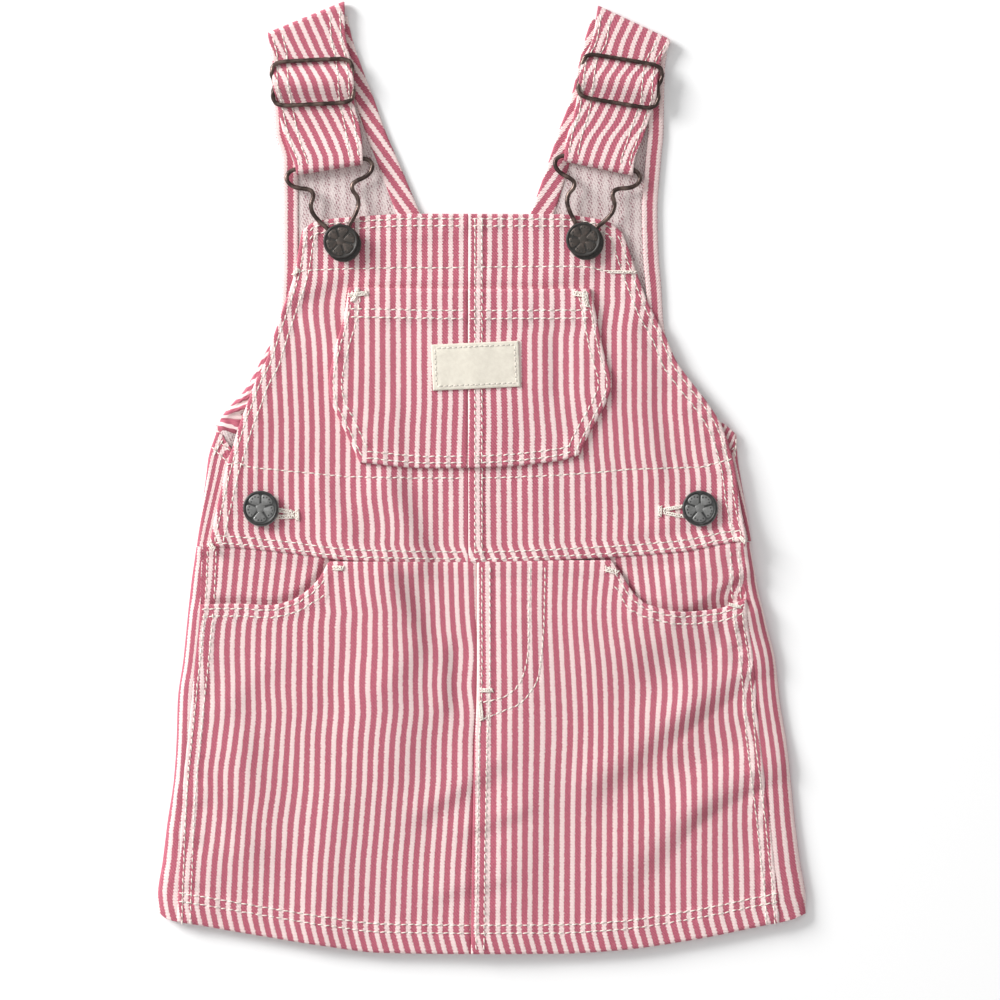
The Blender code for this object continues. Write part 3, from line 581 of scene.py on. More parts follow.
for side, sign in SIDES.items():
    armhole = column(VEST_SECTIONS, "armhole_" + side)
    neck = column(VEST_SECTIONS, "neck_" + side)
    fold = SHOULDER_FOLD[side]

    def vest_top(x):
        """Lower edge of the strap's end on the back."""
        return fold.y + fold.slope * (x - fold.x) - STRAP_BACK_LEG - GAP

    def neck_turn_edge(y):
        """Inner edge of the neck's turn, wider towards the point of the V."""
        return neck(y) + sign * np.interp(y, (80, 106, 190), (12.0, 9.6, 6.0))

    def armhole_lift(x, y):
        """The right armhole's turn stands off the back towards its inner edge."""
        wide = np.clip(-off_edge(shifted(armhole, -sign * 0.1), x, y) / ARMHOLE_TURN, 0.0, 1.0)
        return 0.9 * wide if side == "right" else 0.0

    edges = ordered(side, armhole, neck)
    x, y = draft(edges, line(BACK_WAIST_LINE), vest_top, edged_shares(60, 1.6), edged_shares(205, 1.6))
    over = vest_over(x, y) * turned_thickness(side_room(edges, x, y))
    vest = add_panel("back_" + side, x, y, over, 0.0, x, outside=wrong_side, inside=right_side)
    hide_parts("vest_back_" + side)
    turned = [hem_strip(
        "armhole_turn_" + side,
        ordered(side, shifted(armhole, -sign * 0.1), shifted(armhole, -sign * ARMHOLE_TURN)),
        ARMHOLE_TURN_LOW, vest_top, armhole_lift,
        lambda x, y: -sign * off_edge(armhole, x, y) - 0.1)]
    if side == "left":
        turned += [rolled_armhole(), armhole_hollow()]
    turned.append(hem_strip(
        "neck_turn_" + side, ordered(side, neck_turn_edge, shifted(neck, sign * 0.1)),
        NECK_TURN_LOW, vest_top, lambda x, y: 0.0,
        lambda x, y: -sign * x * math.cos(NECK_LEAN) + y * math.sin(NECK_LEAN)))

# ---------------------------------------------------------------- side openings' stands
# A folded strip of the same twill at each side opening.  One leg is sewn to the back and
# the other lies under the front, where the side buttons fasten through it.
FRONT_LIFT = 3.3
STAND_LEG = 8.0
STAND_WIDTH = 30.0
STAND_EASE = 0.1
STAND_TOP = FRONT_LIFT - GAP - STAND_EASE
edges_of = table_of("y left right")
STAND_SECTIONS = edges_of(
    (-30, -114.2, 108.6), (-17, -112.6, 106.6), (0, -110.2, 103.6), (8, -109.2, 102.4),
    (18, -106.4, 101.8))
STAND_TOP_LINES = {
    "left": points_of((-109, 18.4), (-105, 18), (-99, 11), (-76, 9)),
    "right": points_of((72, 20), (88, 22.6), (94, 22.6), (102, 17.2)),
}


def length_along(path):
    """How far along a path each of its points is."""
    return np.concatenate([[0.0], np.cumsum(np.linalg.norm(np.diff(path, axis=0), axis=1))])


def turned_side(edge_x, sign, low_leg, high_leg, high_top, low_count, high_length, reach_x=0.0):
    """One section of cloth that wraps a side, from its leg on the table to its leg on top.

    Gives (x, z) of the outer and of the inner face, and the distance round from the fold.
    """
    radius = high_top / 2
    wide = max(radius, reach_x)
    centre_x = edge_x - sign * wide
    outer = []
    inner = []
    for share in np.linspace(1.0, 1.0 / low_count, low_count):
        outer.append((centre_x - sign * share * low_leg, 0.0))
        inner.append((centre_x - sign * share * low_leg, CLOTH))
    for angle in np.linspace(0.0, math.pi, 13):
        reach = sign * math.sin(angle)
        drop = math.cos(angle)
        outer.append((centre_x + reach * wide, radius - drop * radius))
        inner.append((centre_x + reach * (wide - CLOTH), radius - drop * (radius - CLOTH)))
    for share in edged_shares(high_length, 0.8)[1:]:
        outer.append((centre_x - sign * share * high_leg, high_top))
        inner.append((centre_x - sign * share * high_leg, high_top - CLOTH))
    round_it = length_along(np.array(outer))
    return np.array(outer), np.array(inner), round_it - round_it[low_count + 6]


def meet(edge, line_at, y=0.0):
    """The point where an edge x(y) and a line y(x) cross."""
    for _ in range(MEET_STEPS):
        x = edge(y)
        y = line_at(x)
    return x, y


def stood_up(section, line_at):
    """Points in space of a wrapped section that follows a line y(x)."""
    return grid_of(section[:, 0], line_at(section[:, 0]), section[:, 1])


def add_wrapped(name, sections, sign):
    """Cloth from its wrapped sections; each has outer points, inner points and its stripes."""
    over, under, stripes = (np.stack([section[k] for section in sections]) for k in range(3))
    if sign > 0:
        over, under, stripes = over[:, ::-1], under[:, ::-1], stripes[:, ::-1]
    return add_cloth(name, over, under, grid_of(stripes, over[..., 1]))


back_waist = line(BACK_WAIST_LINE)
for side, sign in SIDES.items():
    sections = []
    for v in edged_shares(44):
        level = between(back_waist, line(STAND_TOP_LINES[side]), v)
        edge_x, _ = meet(column(STAND_SECTIONS, side), level)
        outer, inner, round_it = turned_side(edge_x, sign, STAND_LEG - STAND_TOP / 2,
                                             STAND_WIDTH - STAND_TOP / 2, STAND_TOP, 4, 28.0)
        over = stood_up(outer, level)
        twist = 0.9 * np.maximum(over[:, 1] - 9.0, 0.0) if side == "right" else 0.0
        sections.append((over, stood_up(inner, level),
                         round_it * 1.5 + 2.2 - over[:, 1] * 0.12 + twist))
    add_wrapped("side_stand_" + side, sections, sign)
    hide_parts("button_stand_" + side)

# ---------------------------------------------------------------- skirt back, in two halves
# The skirt's back lies right side down, wraps round both sides and meets the front at the
# felled side seams, so a narrow strip of it shows outside each seam.
SKIRT_SECTIONS = table_of("y side_left seam_left centre seam_right side_right")(
    (-182, -129.6, -121.6, -4.2, 119.2, 129.6),
    (-169, -129.6, -121.4, -4, 118.8, 129.6),
    (-153, -127.4, -120.8, -3.8, 117, 127.2),
    (-137, -125.4, -120.2, -3.5, 115.4, 125.2),
    (-121, -123, -119.2, -3.2, 113.4, 123.6),
    (-105, -121.9, -117.6, -2.8, 111.4, 121.8),
    (-89, -121.4, -116, -2, 110.2, 119.2),
    (-73, -119.2, -114.4, -1.8, 108.8, 117.4),
    (-57, -117.6, -112.8, -1.8, 106.4, 113.4),
    (-42, -116, -111.9, -1.8, 105.2, 110),
    (-28, -114, -111.4, -1.8, 104.8, 107.4))
HEM_LINE = points_of(
    (-130, -173), (-125, -176.6), (-111, -179.2), (-89, -183), (-64, -187), (-40, -189.9),
    (-4, -190.4), (30, -190.3), (54, -189), (83, -185), (112, -179.2), (124, -176.6), (130, -174))
FOLDS = folds_of(
    (-97, -110, -92, -144, 13, 1.1), (-46, -38, -50, -100, 9, 0.3), (-60, -130, -66, -186, 10, 0.7),
    (14, -60, 8, -184, 16, 0.8), (-5, 80, -5, 0, 30, 0.25), (-123, -79, -113, -83, 3.2, 0.5),
    (-125, -124, -113, -128, 3, 0.6), (-126, -140, -114, -143, 3, 0.5),
    (-128, -158, -117, -161, 3.2, 0.5))
drapes_of = table_of("start_x start_y end_x end_y width fall")
DRAPES = drapes_of(
    (114, -76, 84, -97, 12, 3.4), (84, -97, 50, -122, 11, 2.6), (112, -121, 88, -135, 10, 2.8),
    (88, -135, 68, -153, 10, 1.6), (112, -34, 84, -50, 9, 4.3), (112, -56, 70, -71, 18, 4.2),
    (-33, -2, -22, -32, 8, 2.4), (-35, -38, -24, -62, 7.5, 2.2), (-30, -46, -26, -106, 18, 2.4),
    (-13, -70, -13, -90, 6, 1.7), (6, -117, -22, -135, 7, 1.4), (16, -135, -3, -141, 5, 1),
    (8, -162, -14, -167, 5, 0.9), (-108, -124, -92, -144, 8, 1.3), (-96, -88, -92, -112, 9, 0.8),
    (60, -166, 68, -178, 6, 0.7), (-56, 78, -80, 68, 7, 1.3), (56, 84, 32, 80, 6, 1),
    (-8, 97, -36, 94, 4, 0.5), (38, 77.3, -46, 77.3, 2, 0.7), (64, 62, 70, 40, 7, 1),
    (68, 32, 72, 2, 7, 0.8), (-62, -2, -48, -28, 8, 1), (84, -18, 60, -25, 6, 0.8))
BIB_LIFT = 1.8
HIGHEST_LIFT = 6.2
LOWEST_LIFT = 2.2
BIB_FALL_FROM = 22.0
BIB_FALL_TO = 98.0
LEAN_FROM = 10.0
LEAN_EASE = 4.0
HEM_LEAN = math.tan(math.radians(15))


def hem_lean(away):
    """How far the turned-up hem's stripes lean aside, eased in from where the lean starts."""
    reach = np.clip(LEAN_FROM - away, 0.0, None)
    return HEM_LEAN * np.where(reach < LEAN_EASE, reach ** 2 / (2 * LEAN_EASE), reach - LEAN_EASE / 2)


def drape_height(drapes, x, y):
    """Soft steps in the cloth: each falls to the left of its run from start to end."""
    total = np.zeros(np.shape(x))
    for drape in drapes:
        run_x = drape.end_x - drape.start_x
        run_y = drape.end_y - drape.start_y
        away_x, away_y, _ = off_run(x, y, *drape[:4])
        across = (away_x * run_y - away_y * run_x) / math.hypot(run_x, run_y) / drape.width
        near = (1 + (away_x ** 2 + away_y ** 2) / drape.width ** 2) ** -1.6
        total += drape.fall * (1.17 * across + 0.2) * near
    return total


def front_under(x, y):
    """Height of the underside of the garment's front."""
    fall = eased(y, BIB_FALL_FROM, BIB_FALL_TO)
    lift = FRONT_LIFT + (BIB_LIFT - FRONT_LIFT) * fall + fold_height(FOLDS, x, y)
    lift = lift + drape_height(DRAPES, x, y)
    return np.clip(lift, LOWEST_LIFT + (BIB_LIFT - LOWEST_LIFT) * fall, HIGHEST_LIFT)


hem = line(HEM_LINE)
for side, sign in SIDES.items():
    edge = column(SKIRT_SECTIONS, "side_" + side)
    seam = column(SKIRT_SECTIONS, "seam_" + side)
    sections = []
    for v in edged_shares(150, 1.2):
        level = between(hem, shifted(back_waist, -GAP), v)
        seam_x, seam_y = meet(shifted(seam, -sign * 0.1), level, -100.0)
        edge_x, _ = meet(edge, level, -100.0)
        top_z = float(front_under(seam_x, seam_y) + CLOTH - (CLOTH + GAP) * eased(seam_y, -54.0, -48.0)
                      + 0.8 * eased(seam_y, -33.0, -29.0))
        wide = max(top_z / 2, abs(edge_x - seam_x) - 0.8)
        outer, inner, round_it = turned_side(edge_x, sign, abs(edge_x) - wide - GAP / 2,
                                             max(abs(edge_x - seam_x) - wide, 0.3), top_z, 50, 8.0, wide)
        over = stood_up(outer, level)
        crowd = 0.95 + 0.35 * float(eased(seam_y, -175.0, -60.0))
        lean = hem_lean(off_line(hem, over[:, 0], over[:, 1]))
        sections.append((over, stood_up(inner, level), round_it * -sign * crowd + 2.0 - lean))
    wrap = add_wrapped("skirt_back_cloth_" + side, sections, sign)
    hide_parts("skirt_back_" + side)

# ---------------------------------------------------------------- hip pocket facings
# A piece of the striped twill behind each scooped hip pocket.  Its upper part shows in the
# scoop, and it is caught in the waist seam and the side seam.
FACING_DEPTH = 8.0
FACING_LOWEST_START = -44.0
stripes_of = table_of("y start pitch")
pulls_of = table_of("x y width length shift")
WAIST_LINE = points_of(
    (-116, -27.4), (-104, -27.8), (-81, -29.8), (-49, -33.4), (0, -34.2), (31, -33), (79, -29.8),
    (103, -25.6), (112, -25.2))
SCOOP_LINES = {
    "left": points_of(
        (-113, -50.6), (-97, -50.4), (-85, -51), (-76, -49), (-70, -45.4), (-65, -40.4),
        (-61, -33.5)),
    "right": points_of(
        (52, -33), (56, -38.8), (61, -46.4), (67, -50.8), (80, -53.6), (94, -52.4), (106, -48.2)),
}
FACING_PULLS = {
    "left": pulls_of((-108, -40, 6, 8, 0.4)),
    "right": pulls_of((101, -39, 8, 5, 0.8), (102, -49, 9, 5, -2.8)),
}
FACING_STRIPES = {
    "left": stripes_of((-29, -100.4, 4.25), (-48, -102.2, 4.15)),
    "right": stripes_of((-29, 68, 4.2), (-52, 70.4, 4.1)),
}
STAND_CROSS = {
    "left": [((-107.8, 12.4), (-101.6, 6.4)), ((-105.4, 15.4), (-100.2, 10.4)),
             ((-107.2, 8.4), (-103.2, 15.4))],
    "right": [((101.2, 8.2), (101.9, 15.6)), ((99.6, 11.0), (101.4, 12.0))],
}
STITCH = 2.8
STITCH_SPACE = 0.5
STITCH_SLANT = 0.16
THREAD = 0.54
THREAD_SIDES = 6
THREAD_ENDS = np.array([0.4, 0.92, 1.0, 0.92, 0.4])
THREAD_COLOUR = (0.95, 0.89, 0.81, 1.0)
THREAD_SHADE = (0.70, 0.62, 0.55, 1.0)
# The dark spots at the needle holes are painted shade where the thread dips into the cloth, patchy between
# two tones.
NEEDLE_HOLE = 0.34
NEEDLE_HOLE_SHADE = (0.30, 0.31, 0.25, 1.0)
NEEDLE_HOLE_SHADE_LIGHT = (0.52, 0.46, 0.42, 1.0)


def stripe_chart(rows, pulls=()):
    """Where the stripes run, from rows that give one cream stripe's place and the pitch."""
    start = column(rows, "start")
    pitch = column(rows, "pitch")

    def at(x, y):
        place = (x - start(y)) / pitch(y) * STRIPE
        for pull in pulls:
            place = place - pull.shift * np.exp(-((x - pull.x) / pull.width) ** 2
                                                - ((y - pull.y) / pull.length) ** 2)
        return place
    return at


def patchy_material(name, dark, light, roughness, scale, limits=None):
    """A material in two tones; gives it with its shader and where its patches are."""
    material, shader = plain_material(name, dark, roughness)
    tree = material.node_tree
    patches = noise(Channel(add_node(tree, "TexCoord", {}).outputs["Object"]), scale)
    share = ramp(patches, *limits) if limits else patches
    tree.links.new(blend_colours(tree, share, dark, light), shader.inputs["Base Color"])
    return material, shader, patches


cream_thread, shader, strands = patchy_material(
    "cream_thread", THREAD_SHADE, THREAD_COLOUR, 0.75, 2600.0, limits=(0.25, 0.6))
add_relief(shader, strands, 0.6, 0.12)
# The needle holes' material is painted shade.
needle_hole_shade = patchy_material("needle_hole_shade", NEEDLE_HOLE_SHADE, NEEDLE_HOLE_SHADE_LIGHT, 0.95, 900.0)[0]
hand = np.random.default_rng(7)


def beside_edge(edge, inset, low, high):
    """Plan of a stitch row beside an edge x(y), inset square to it, from low to high."""
    y = np.linspace(low, high, max(int(abs(high - low) / 2), 2))
    slope = edge(y + 0.5) - edge(y - 0.5)
    return np.stack([edge(y) + inset * np.sqrt(1 + slope ** 2), y], axis=-1)


def beside_line(line_at, inset, start_x, end_x):
    """Plan of a stitch row beside a line y(x), inset square to it."""
    return beside_edge(line_at, inset, start_x, end_x)[:, ::-1]


def smooth_path(points, per_span=6, closed=False):
    """A smooth curve through points, closed or from the first point to the last."""
    points = np.array([tuple(point) for point in points], dtype=float)
    if closed:
        spans = [np.roll(points, shift, axis=0) for shift in (1, 0, -1, -2)]
    else:
        padded = np.concatenate([points[:1], points, points[-1:]])
        spans = [padded[k:len(points) - 1 + k] for k in range(4)]
    path = []
    for a, b, c, d in zip(*spans):
        for t in np.arange(per_span) / per_span:
            path.append(0.5 * (2 * b + (c - a) * t + (2 * a - 5 * b + 4 * c - d) * t * t
                               + (3 * b - a - 3 * c + d) * t ** 3))
    return np.array(path if closed else path + [points[-1]])


def sewn_relief(rows, x, y):
    """The dips that stitch rows pull into the cloth, and the small puckers beside them."""
    total = np.zeros(np.shape(x))
    for k, row in enumerate(rows):
        away = np.full(np.shape(x), 1e6)
        along = np.zeros(np.shape(x))
        starts = length_along(row)
        for start, end, passed, reached in zip(row, row[1:], starts, starts[1:]):
            off_x, off_y, share = off_run(x, y, *start, *end)
            off = np.hypot(off_x, off_y)
            along = np.where(off < away, passed + share * (reached - passed), along)
            away = np.minimum(off, away)
        total -= (0.17 + 0.07 * np.cos(2 * math.pi * along / STITCH)) * np.exp(-(away / 0.8) ** 2)
        waves = np.sin(2 * math.pi * along / 7.4 + 1.7 * k + 1.4 * np.sin(along / 9.0))
        total += 0.13 * waves * np.exp(-(away / 3.4) ** 2)
    return total


def unit(arrows):
    """Arrows of the same directions, one long."""
    return arrows / np.maximum(np.linalg.norm(arrows, axis=-1, keepdims=True), 1e-9)


def path_at(at, places, path):
    """Points of a path at given lengths along it."""
    return np.stack([np.interp(at, places, path[:, k]) for k in range(path.shape[1])], axis=-1)


def stitch_strands(path, stitch=STITCH):
    """Stitches along a path of surface points, as strands of five points, and their holes."""
    places = length_along(path)
    count = max(int(round(places[-1] / stitch)), 1)
    pitch = places[-1] / count
    share = np.linspace(0.0, 1.0, 5)
    ends = np.arange(count)[:, None] * pitch + STITCH_SPACE / 2 + share * (pitch - STITCH_SPACE)
    strands = path_at(ends, places, path)
    ahead = unit(strands[:, -1, :2] - strands[:, 0, :2])
    square = np.stack([-ahead[:, 1], ahead[:, 0]], axis=-1)
    slant = hand.normal(STITCH_SLANT, 0.06, (count, 1)) * (share[None, :] - 0.5) * 2
    strands[:, :, :2] += square[:, None, :] * (slant + hand.normal(0.0, 0.04, (count, 1)))[:, :, None]
    strands[:, :, 2] += THREAD * (np.sin(math.pi * share) ** 0.7 * 0.6 - 0.32)
    return strands, path_at(np.arange(1, count) * pitch, places, path)


def add_sewing(name, strands, holes, radius=THREAD / 2):
    """One mesh of round threads, each with its own strand of five points, and painted shade spots at the
    needle holes.
    """
    sides = THREAD_SIDES
    ahead = unit(np.gradient(strands, axis=1))
    across = unit(np.cross(ahead, (0.0, 0.0, 1.0)))
    upward = np.cross(across, ahead)
    angle = 2 * math.pi * np.arange(sides) / sides
    rings = (strands[:, :, None, :]
             + (across[:, :, None, :] * np.cos(angle)[:, None]
                + upward[:, :, None, :] * np.sin(angle)[:, None]) * (radius * THREAD_ENDS)[:, None, None])
    index = np.arange(rings.size // 3).reshape(rings.shape[:3])
    after = np.roll(index, -1, axis=2)
    faces = grid_of(index[:, :-1], index[:, 1:], after[:, 1:], after[:, :-1]).reshape(-1, 4).tolist()
    faces += index[:, 0].tolist() + index[:, -1, ::-1].tolist()
    kinds = [0] * len(faces)
    # A low dark cone at each needle hole, painted shade in the hole.
    cone = [(math.cos(turn) * NEEDLE_HOLE, math.sin(turn) * NEEDLE_HOLE, 0.02) for turn in angle]
    spots = holes[:, None, :] + np.array(cone + [(0.0, 0.0, 0.09)])
    first = rings.size // 3 + np.arange(len(holes)) * (sides + 1)
    for k in range(sides):
        faces += grid_of(first + k, first + (k + 1) % sides, first + sides).tolist()
    kinds += [1] * (len(faces) - len(kinds))
    points = np.concatenate([rings.reshape(-1, 3), spots.reshape(-1, 3)])
    piece = place_mesh(name, points, faces, [cream_thread, needle_hole_shade], kinds)
    return piece


def sew_rows(name, rows, height_at, tacks=(), stitch=STITCH, radius=THREAD / 2):
    """Stitch plan rows onto a face whose height is known, with any bar tacks."""
    sewn = []
    for row in rows:
        places = length_along(row)
        x, y = path_at(np.linspace(0.0, places[-1], max(int(places[-1] / 0.5), 2)), places, row).T
        sewn.append(stitch_strands(np.stack([x, y, height_at(x, y)], axis=-1), stitch))
    strands = [row_strands for row_strands, _ in sewn]
    strands += [tack_strands(tack, height_at) for tack in tacks]
    return add_sewing(name, np.concatenate(strands), np.concatenate([holes for _, holes in sewn]), radius)


tacks_of = table_of("start_x start_y end_x end_y width spacing", defaults=(0.64,))


def tack_strands(tack, height_at):
    """A bar tack: threads laid close together across a line, over two that run along it."""
    run = np.array([tack.end_x - tack.start_x, tack.end_y - tack.start_y])
    length = np.linalg.norm(run)
    ahead = run / length
    square = np.array([-ahead[1], ahead[0]])
    share = np.linspace(-1.0, 1.0, 5)
    count = max(int(length / tack.spacing), 3)
    plans = []
    for k in range(count):
        middle = np.array([tack.start_x, tack.start_y]) + run * (k + 0.5) / count
        slant = tack.spacing * (0.8 if k % 2 else -0.8)
        wide = tack.width / 2 * (1 + 0.16 * hand.normal())
        plans.append(middle + share[:, None] * (square * wide + ahead * slant))
    for way in (-0.3, 0.3):
        middle = np.array([tack.start_x, tack.start_y]) + run / 2 + square * way * tack.width
        plans.append(middle + share[:, None] * run * 0.55)
    plans = np.array(plans)
    lift = THREAD * (0.2 + 0.7 * (1 - share ** 2)) * (1 + 0.5 * hand.random((len(plans), 1)))
    return grid_of(plans[..., 0], plans[..., 1], height_at(plans[..., 0], plans[..., 1]) + lift)


waist = line(WAIST_LINE)
for side, sign in SIDES.items():
    seam = column(SKIRT_SECTIONS, "seam_" + side)
    scoop = line(SCOOP_LINES[side])
    scoop_end = SCOOP_LINES["left"][-1].x if side == "left" else SCOOP_LINES["right"][0].x
    edges = ordered(side, shifted(seam, sign * 0.3), straight(scoop_end - sign * FACING_DEPTH))
    x, y = draft(edges, lambda x: np.minimum(scoop(x), FACING_LOWEST_START) - FACING_DEPTH,
                 shifted(waist, 0.6), edged_shares(60), edged_shares(28))
    rows = [beside_edge(seam, -sign * inset, -60.0, -29.0) for inset in (2.0, 5.4)]

    def facing_over(x, y):
        """Height of the facing's outer face: low behind the scoop and high at the waist seam."""
        height = front_under(x, y) - GAP + 0.06 + 0.75 * eased(off_line(waist, x, y), -5.0, -0.6)
        dip = 1.3 * eased(-sign * off_edge(seam, x, y), 1.0, 9.0)
        height = height - dip * np.exp(-(np.maximum(off_line(scoop, x, y), 0.0) / 2.0) ** 2)
        return height + sewn_relief(rows, x, y)

    over = facing_over(x, y)
    chart = stripe_chart(FACING_STRIPES[side], FACING_PULLS[side])
    facing = add_panel("hip_facing_" + side, x, y, over, over - CLOTH, chart(x, y))
    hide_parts("pocket_facing_" + side)
    sewing = sew_rows("facing_sewing_" + side, [row[row[:, 1] > -50.0] for row in rows], facing_over)
    cross = [np.array(ends) for ends in STAND_CROSS[side]]
    sewing = sew_rows("stand_sewing_" + side, cross, lambda x, y: STAND_TOP + 0 * x)

# ---------------------------------------------------------------- skirt front, in two halves
# The skirt's front, joined down the middle with a felled seam and a mock fly stitched on
# its right half.  The hip pockets are scooped out, and the hem is turned up twice.
SKIRT_STRIPES = {
    "left": stripes_of(
        (-34, -7.2, 4), (-53, -6.6, 4), (-59, -6.2, 4.07), (-71, -5, 4.15), (-83, -5.8, 4.1),
        (-95, -4.7, 4.15), (-107, -5.3, 4.17), (-119, -5.4, 4.21), (-131, -6.5, 4.18),
        (-143, -7.3, 4.2), (-155, -8.1, 4.23), (-178, -8.9, 4.25)),
    "right": stripes_of(
        (-34, 1.5, 4.22), (-95, 1.9, 4.22), (-149, 1.7, 4.22), (-178, 1.4, 4.24)),
}
SKIRT_PULLS = {
    "left": pulls_of(
        (-43, -58, 18, 13, 1.6), (-32, -83, 14, 14, 1.3), (-82, -83, 9, 10, -0.6),
        (-66, -101, 12, 12, -0.7), (-102, -119, 9, 12, -0.8), (-84, -137, 15, 13, -1.2)),
    "right": pulls_of(
        (63, -54, 30, 16, -2.7), (107, -55, 18, 9, -2.6), (112, -90, 16, 12, -4),
        (92, -97, 9, 9, -0.9), (84, -104, 9, 10, -1), (76, -112, 9, 10, -1),
        (68, -119, 8, 10, -0.6), (74, -84, 16, 9, 0.9), (36, -100, 15, 18, 1),
        (108, -136, 10, 13, -1)),
}
SKIRT_CREASES = folds_of(
    (-24, -66, -40, -84, 5, 0.35), (-48, -60, -60, -92, 7, -0.35), (-84, -74, -108, -96, 6, 0.4),
    (-30, -96, -22, -150, 9, -0.35), (-108, -150, -112, -172, 6, 0.35), (40, -60, 52, -96, 8, 0.4),
    (66, -64, 76, -88, 6, -0.4), (102, -56, 98, -70, 3.4, 0.6), (96, -62, 106, -74, 3, -0.5),
    (34, -120, 26, -168, 9, -0.35), (56, -146, 50, -180, 7, 0.35), (88, -98, 74, -112, 4, 0.4),
    (2, -100, 0, -160, 6, -0.3))
FLY_ROWS = [
    points_of(
        (25.4, -35.5), (25, -57), (23.8, -73), (22.2, -81), (19.4, -85.8), (15.4, -90.2),
        (9.4, -93), (3.4, -95.4), (0.2, -96.6)),
    points_of(
        (19.4, -35.5), (19, -53), (18.6, -69), (17, -77.8), (14.6, -83), (11.4, -86.2),
        (7.4, -88.2), (0.2, -89.8)),
]
SKIRT_TACKS = {
    "left": tacks_of((-59.4, -36.2, -55, -36.2, 2.2)),
    "right": tacks_of(
        (49.4, -36.4, 54.6, -38, 2.4), (-0.4, -85, 4.6, -85, 1.8), (-0.6, -89.4, 0.2, -97, 1.6),
        (98.8, -50.6, 103.6, -51.8, 1.4)),
}
SCOOP_ROW_ENDS = {"left": (-112.0, -62.5), "right": (53.0, 105.0)}
HEM_ROW_ENDS = {"left": (-121.0, -4.5), "right": (-3.5, 118.5)}
SKIRT_TUCK = 0.8


def add_front(side, name, node, edges, low, high, size, base_at, over_at, stripes, slack=0.0):
    """A panel of the garment's front, rounded at its edges, between two edges and two lines."""
    x, y = draft(edges, low, high, edged_shares(size[0]), edged_shares(size[1]))
    room = np.minimum(side_room(edges, x, y, slack),
                      np.minimum(off_line(low, x, y), -off_line(high, x, y)))
    base = base_at(x, y, room)
    over = base + (over_at(x, y) - base) * turned_thickness(room)
    panel = add_panel(name + side, x, y, over, base, stripes(x, y))
    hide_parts(node + side)
    return panel


centre = column(SKIRT_SECTIONS, "centre")
for side, sign in SIDES.items():
    seam = column(SKIRT_SECTIONS, "seam_" + side)
    scoop = line(SCOOP_LINES[side])
    chart = stripe_chart(SKIRT_STRIPES[side], SKIRT_PULLS[side])
    rows = [beside_line(hem, inset, *HEM_ROW_ENDS[side]) for inset in (8.4, 11.6)]
    rows += [beside_edge(seam, -sign * inset, -179.0, -54.0) for inset in (2.0, 5.4)]
    rows += [beside_line(scoop, -inset, *SCOOP_ROW_ENDS[side]) for inset in (2.0, 4.9)]
    if side == "right":
        rows += [beside_edge(centre, inset, -189.0, -35.5) for inset in (2.0, 5.2)]
        rows += [smooth_path(points) for points in FLY_ROWS]

    def skirt_top(x):
        """The waist seam, or the pocket's scoop where it is lower."""
        return np.minimum(waist(x) + SKIRT_TUCK, scoop(x))

    def skirt_over(x, y):
        """Height of the skirt front's outer face, with its hem, seams and creases."""
        height = front_under(x, y) + CLOTH + fold_height(SKIRT_CREASES, x, y)
        height = height + 0.4 * eased(off_line(hem, x, y), 12.6, 11.8)
        height = height + 0.3 * eased(-sign * off_edge(seam, x, y), 7.0, 6.2)
        height = height + 0.3 * eased(-off_line(scoop, x, y), 6.6, 5.8)
        if side == "right":
            height = height + 0.4 * eased(off_edge(centre, x, y), 6.4, 5.8)
        else:
            height = height - 0.25 * eased(-off_edge(centre, x, y), 2.0, 0.0)
        return height + sewn_relief(rows, x, y)

    skirt = add_front(side, "skirt_", "skirt_front_", ordered(side, seam, centre), hem, skirt_top,
                      (116, 150), lambda x, y, room: front_under(x, y), skirt_over,
                      lambda x, y: chart(x, y) - hem_lean(off_line(hem, x, y)))
    sewing = sew_rows("skirt_sewing_" + side, rows, skirt_over, SKIRT_TACKS[side])

# ---------------------------------------------------------------- bib, in two halves
# The bib is cut in one with the front waist and joined down its middle.  Its top and
# armholes are turned in and stitched twice, and its lower edge is felled over the skirt.
BIB_CENTRE = -5.4
BIB_SECTIONS = edges_of(
    (-34, -110, 107), (-22, -107.8, 105.4), (-9, -105, 103), (3, -102.2, 101.4), (13, -99.2, 98.8),
    (21, -96.8, 95.8), (30, -93.4, 90.2), (38, -90.4, 84), (47, -86, 77.6), (56, -83.2, 73.8),
    (68, -79.2, 67.4), (82, -74.6, 62), (93, -72.8, 58.2), (102, -70.8, 54.6))
BIB_TOP_LINE = points_of(
    (-72, 98.4), (-67, 102), (-60, 103.4), (-25, 105.4), (31, 105.2), (47, 103.2), (52, 101.6),
    (56, 98))
BIB_STRIPES = {
    "left": stripes_of(
        (-34, -8.4, 4.09), (-21, -9, 4.09), (-1, -9, 4.11), (19, -9.2, 4.09), (38, -9.3, 4.13),
        (53, -9.3, 4.18), (67, -9.3, 4.28), (81, -9, 4.17), (91, -9, 4.16), (105, -9, 4.15)),
    "right": stripes_of(
        (-34, 2, 4.2), (-1, 1.7, 4.2), (9, 1.9, 4.11), (19, 1.9, 4.06), (29, 1.9, 4.02),
        (57, 1.9, 4.02), (72, 1.9, 4.13), (91, 2.4, 4.12), (105, 2.4, 4.12)),
}
BIB_PULLS = {
    "left": pulls_of((-41, -21, 13, 10, 1.5), (-100, 6, 8, 10, 0.5)),
    "right": pulls_of((94, 24, 9, 10, -0.5), (56, -14, 14, 8, 0.4)),
}
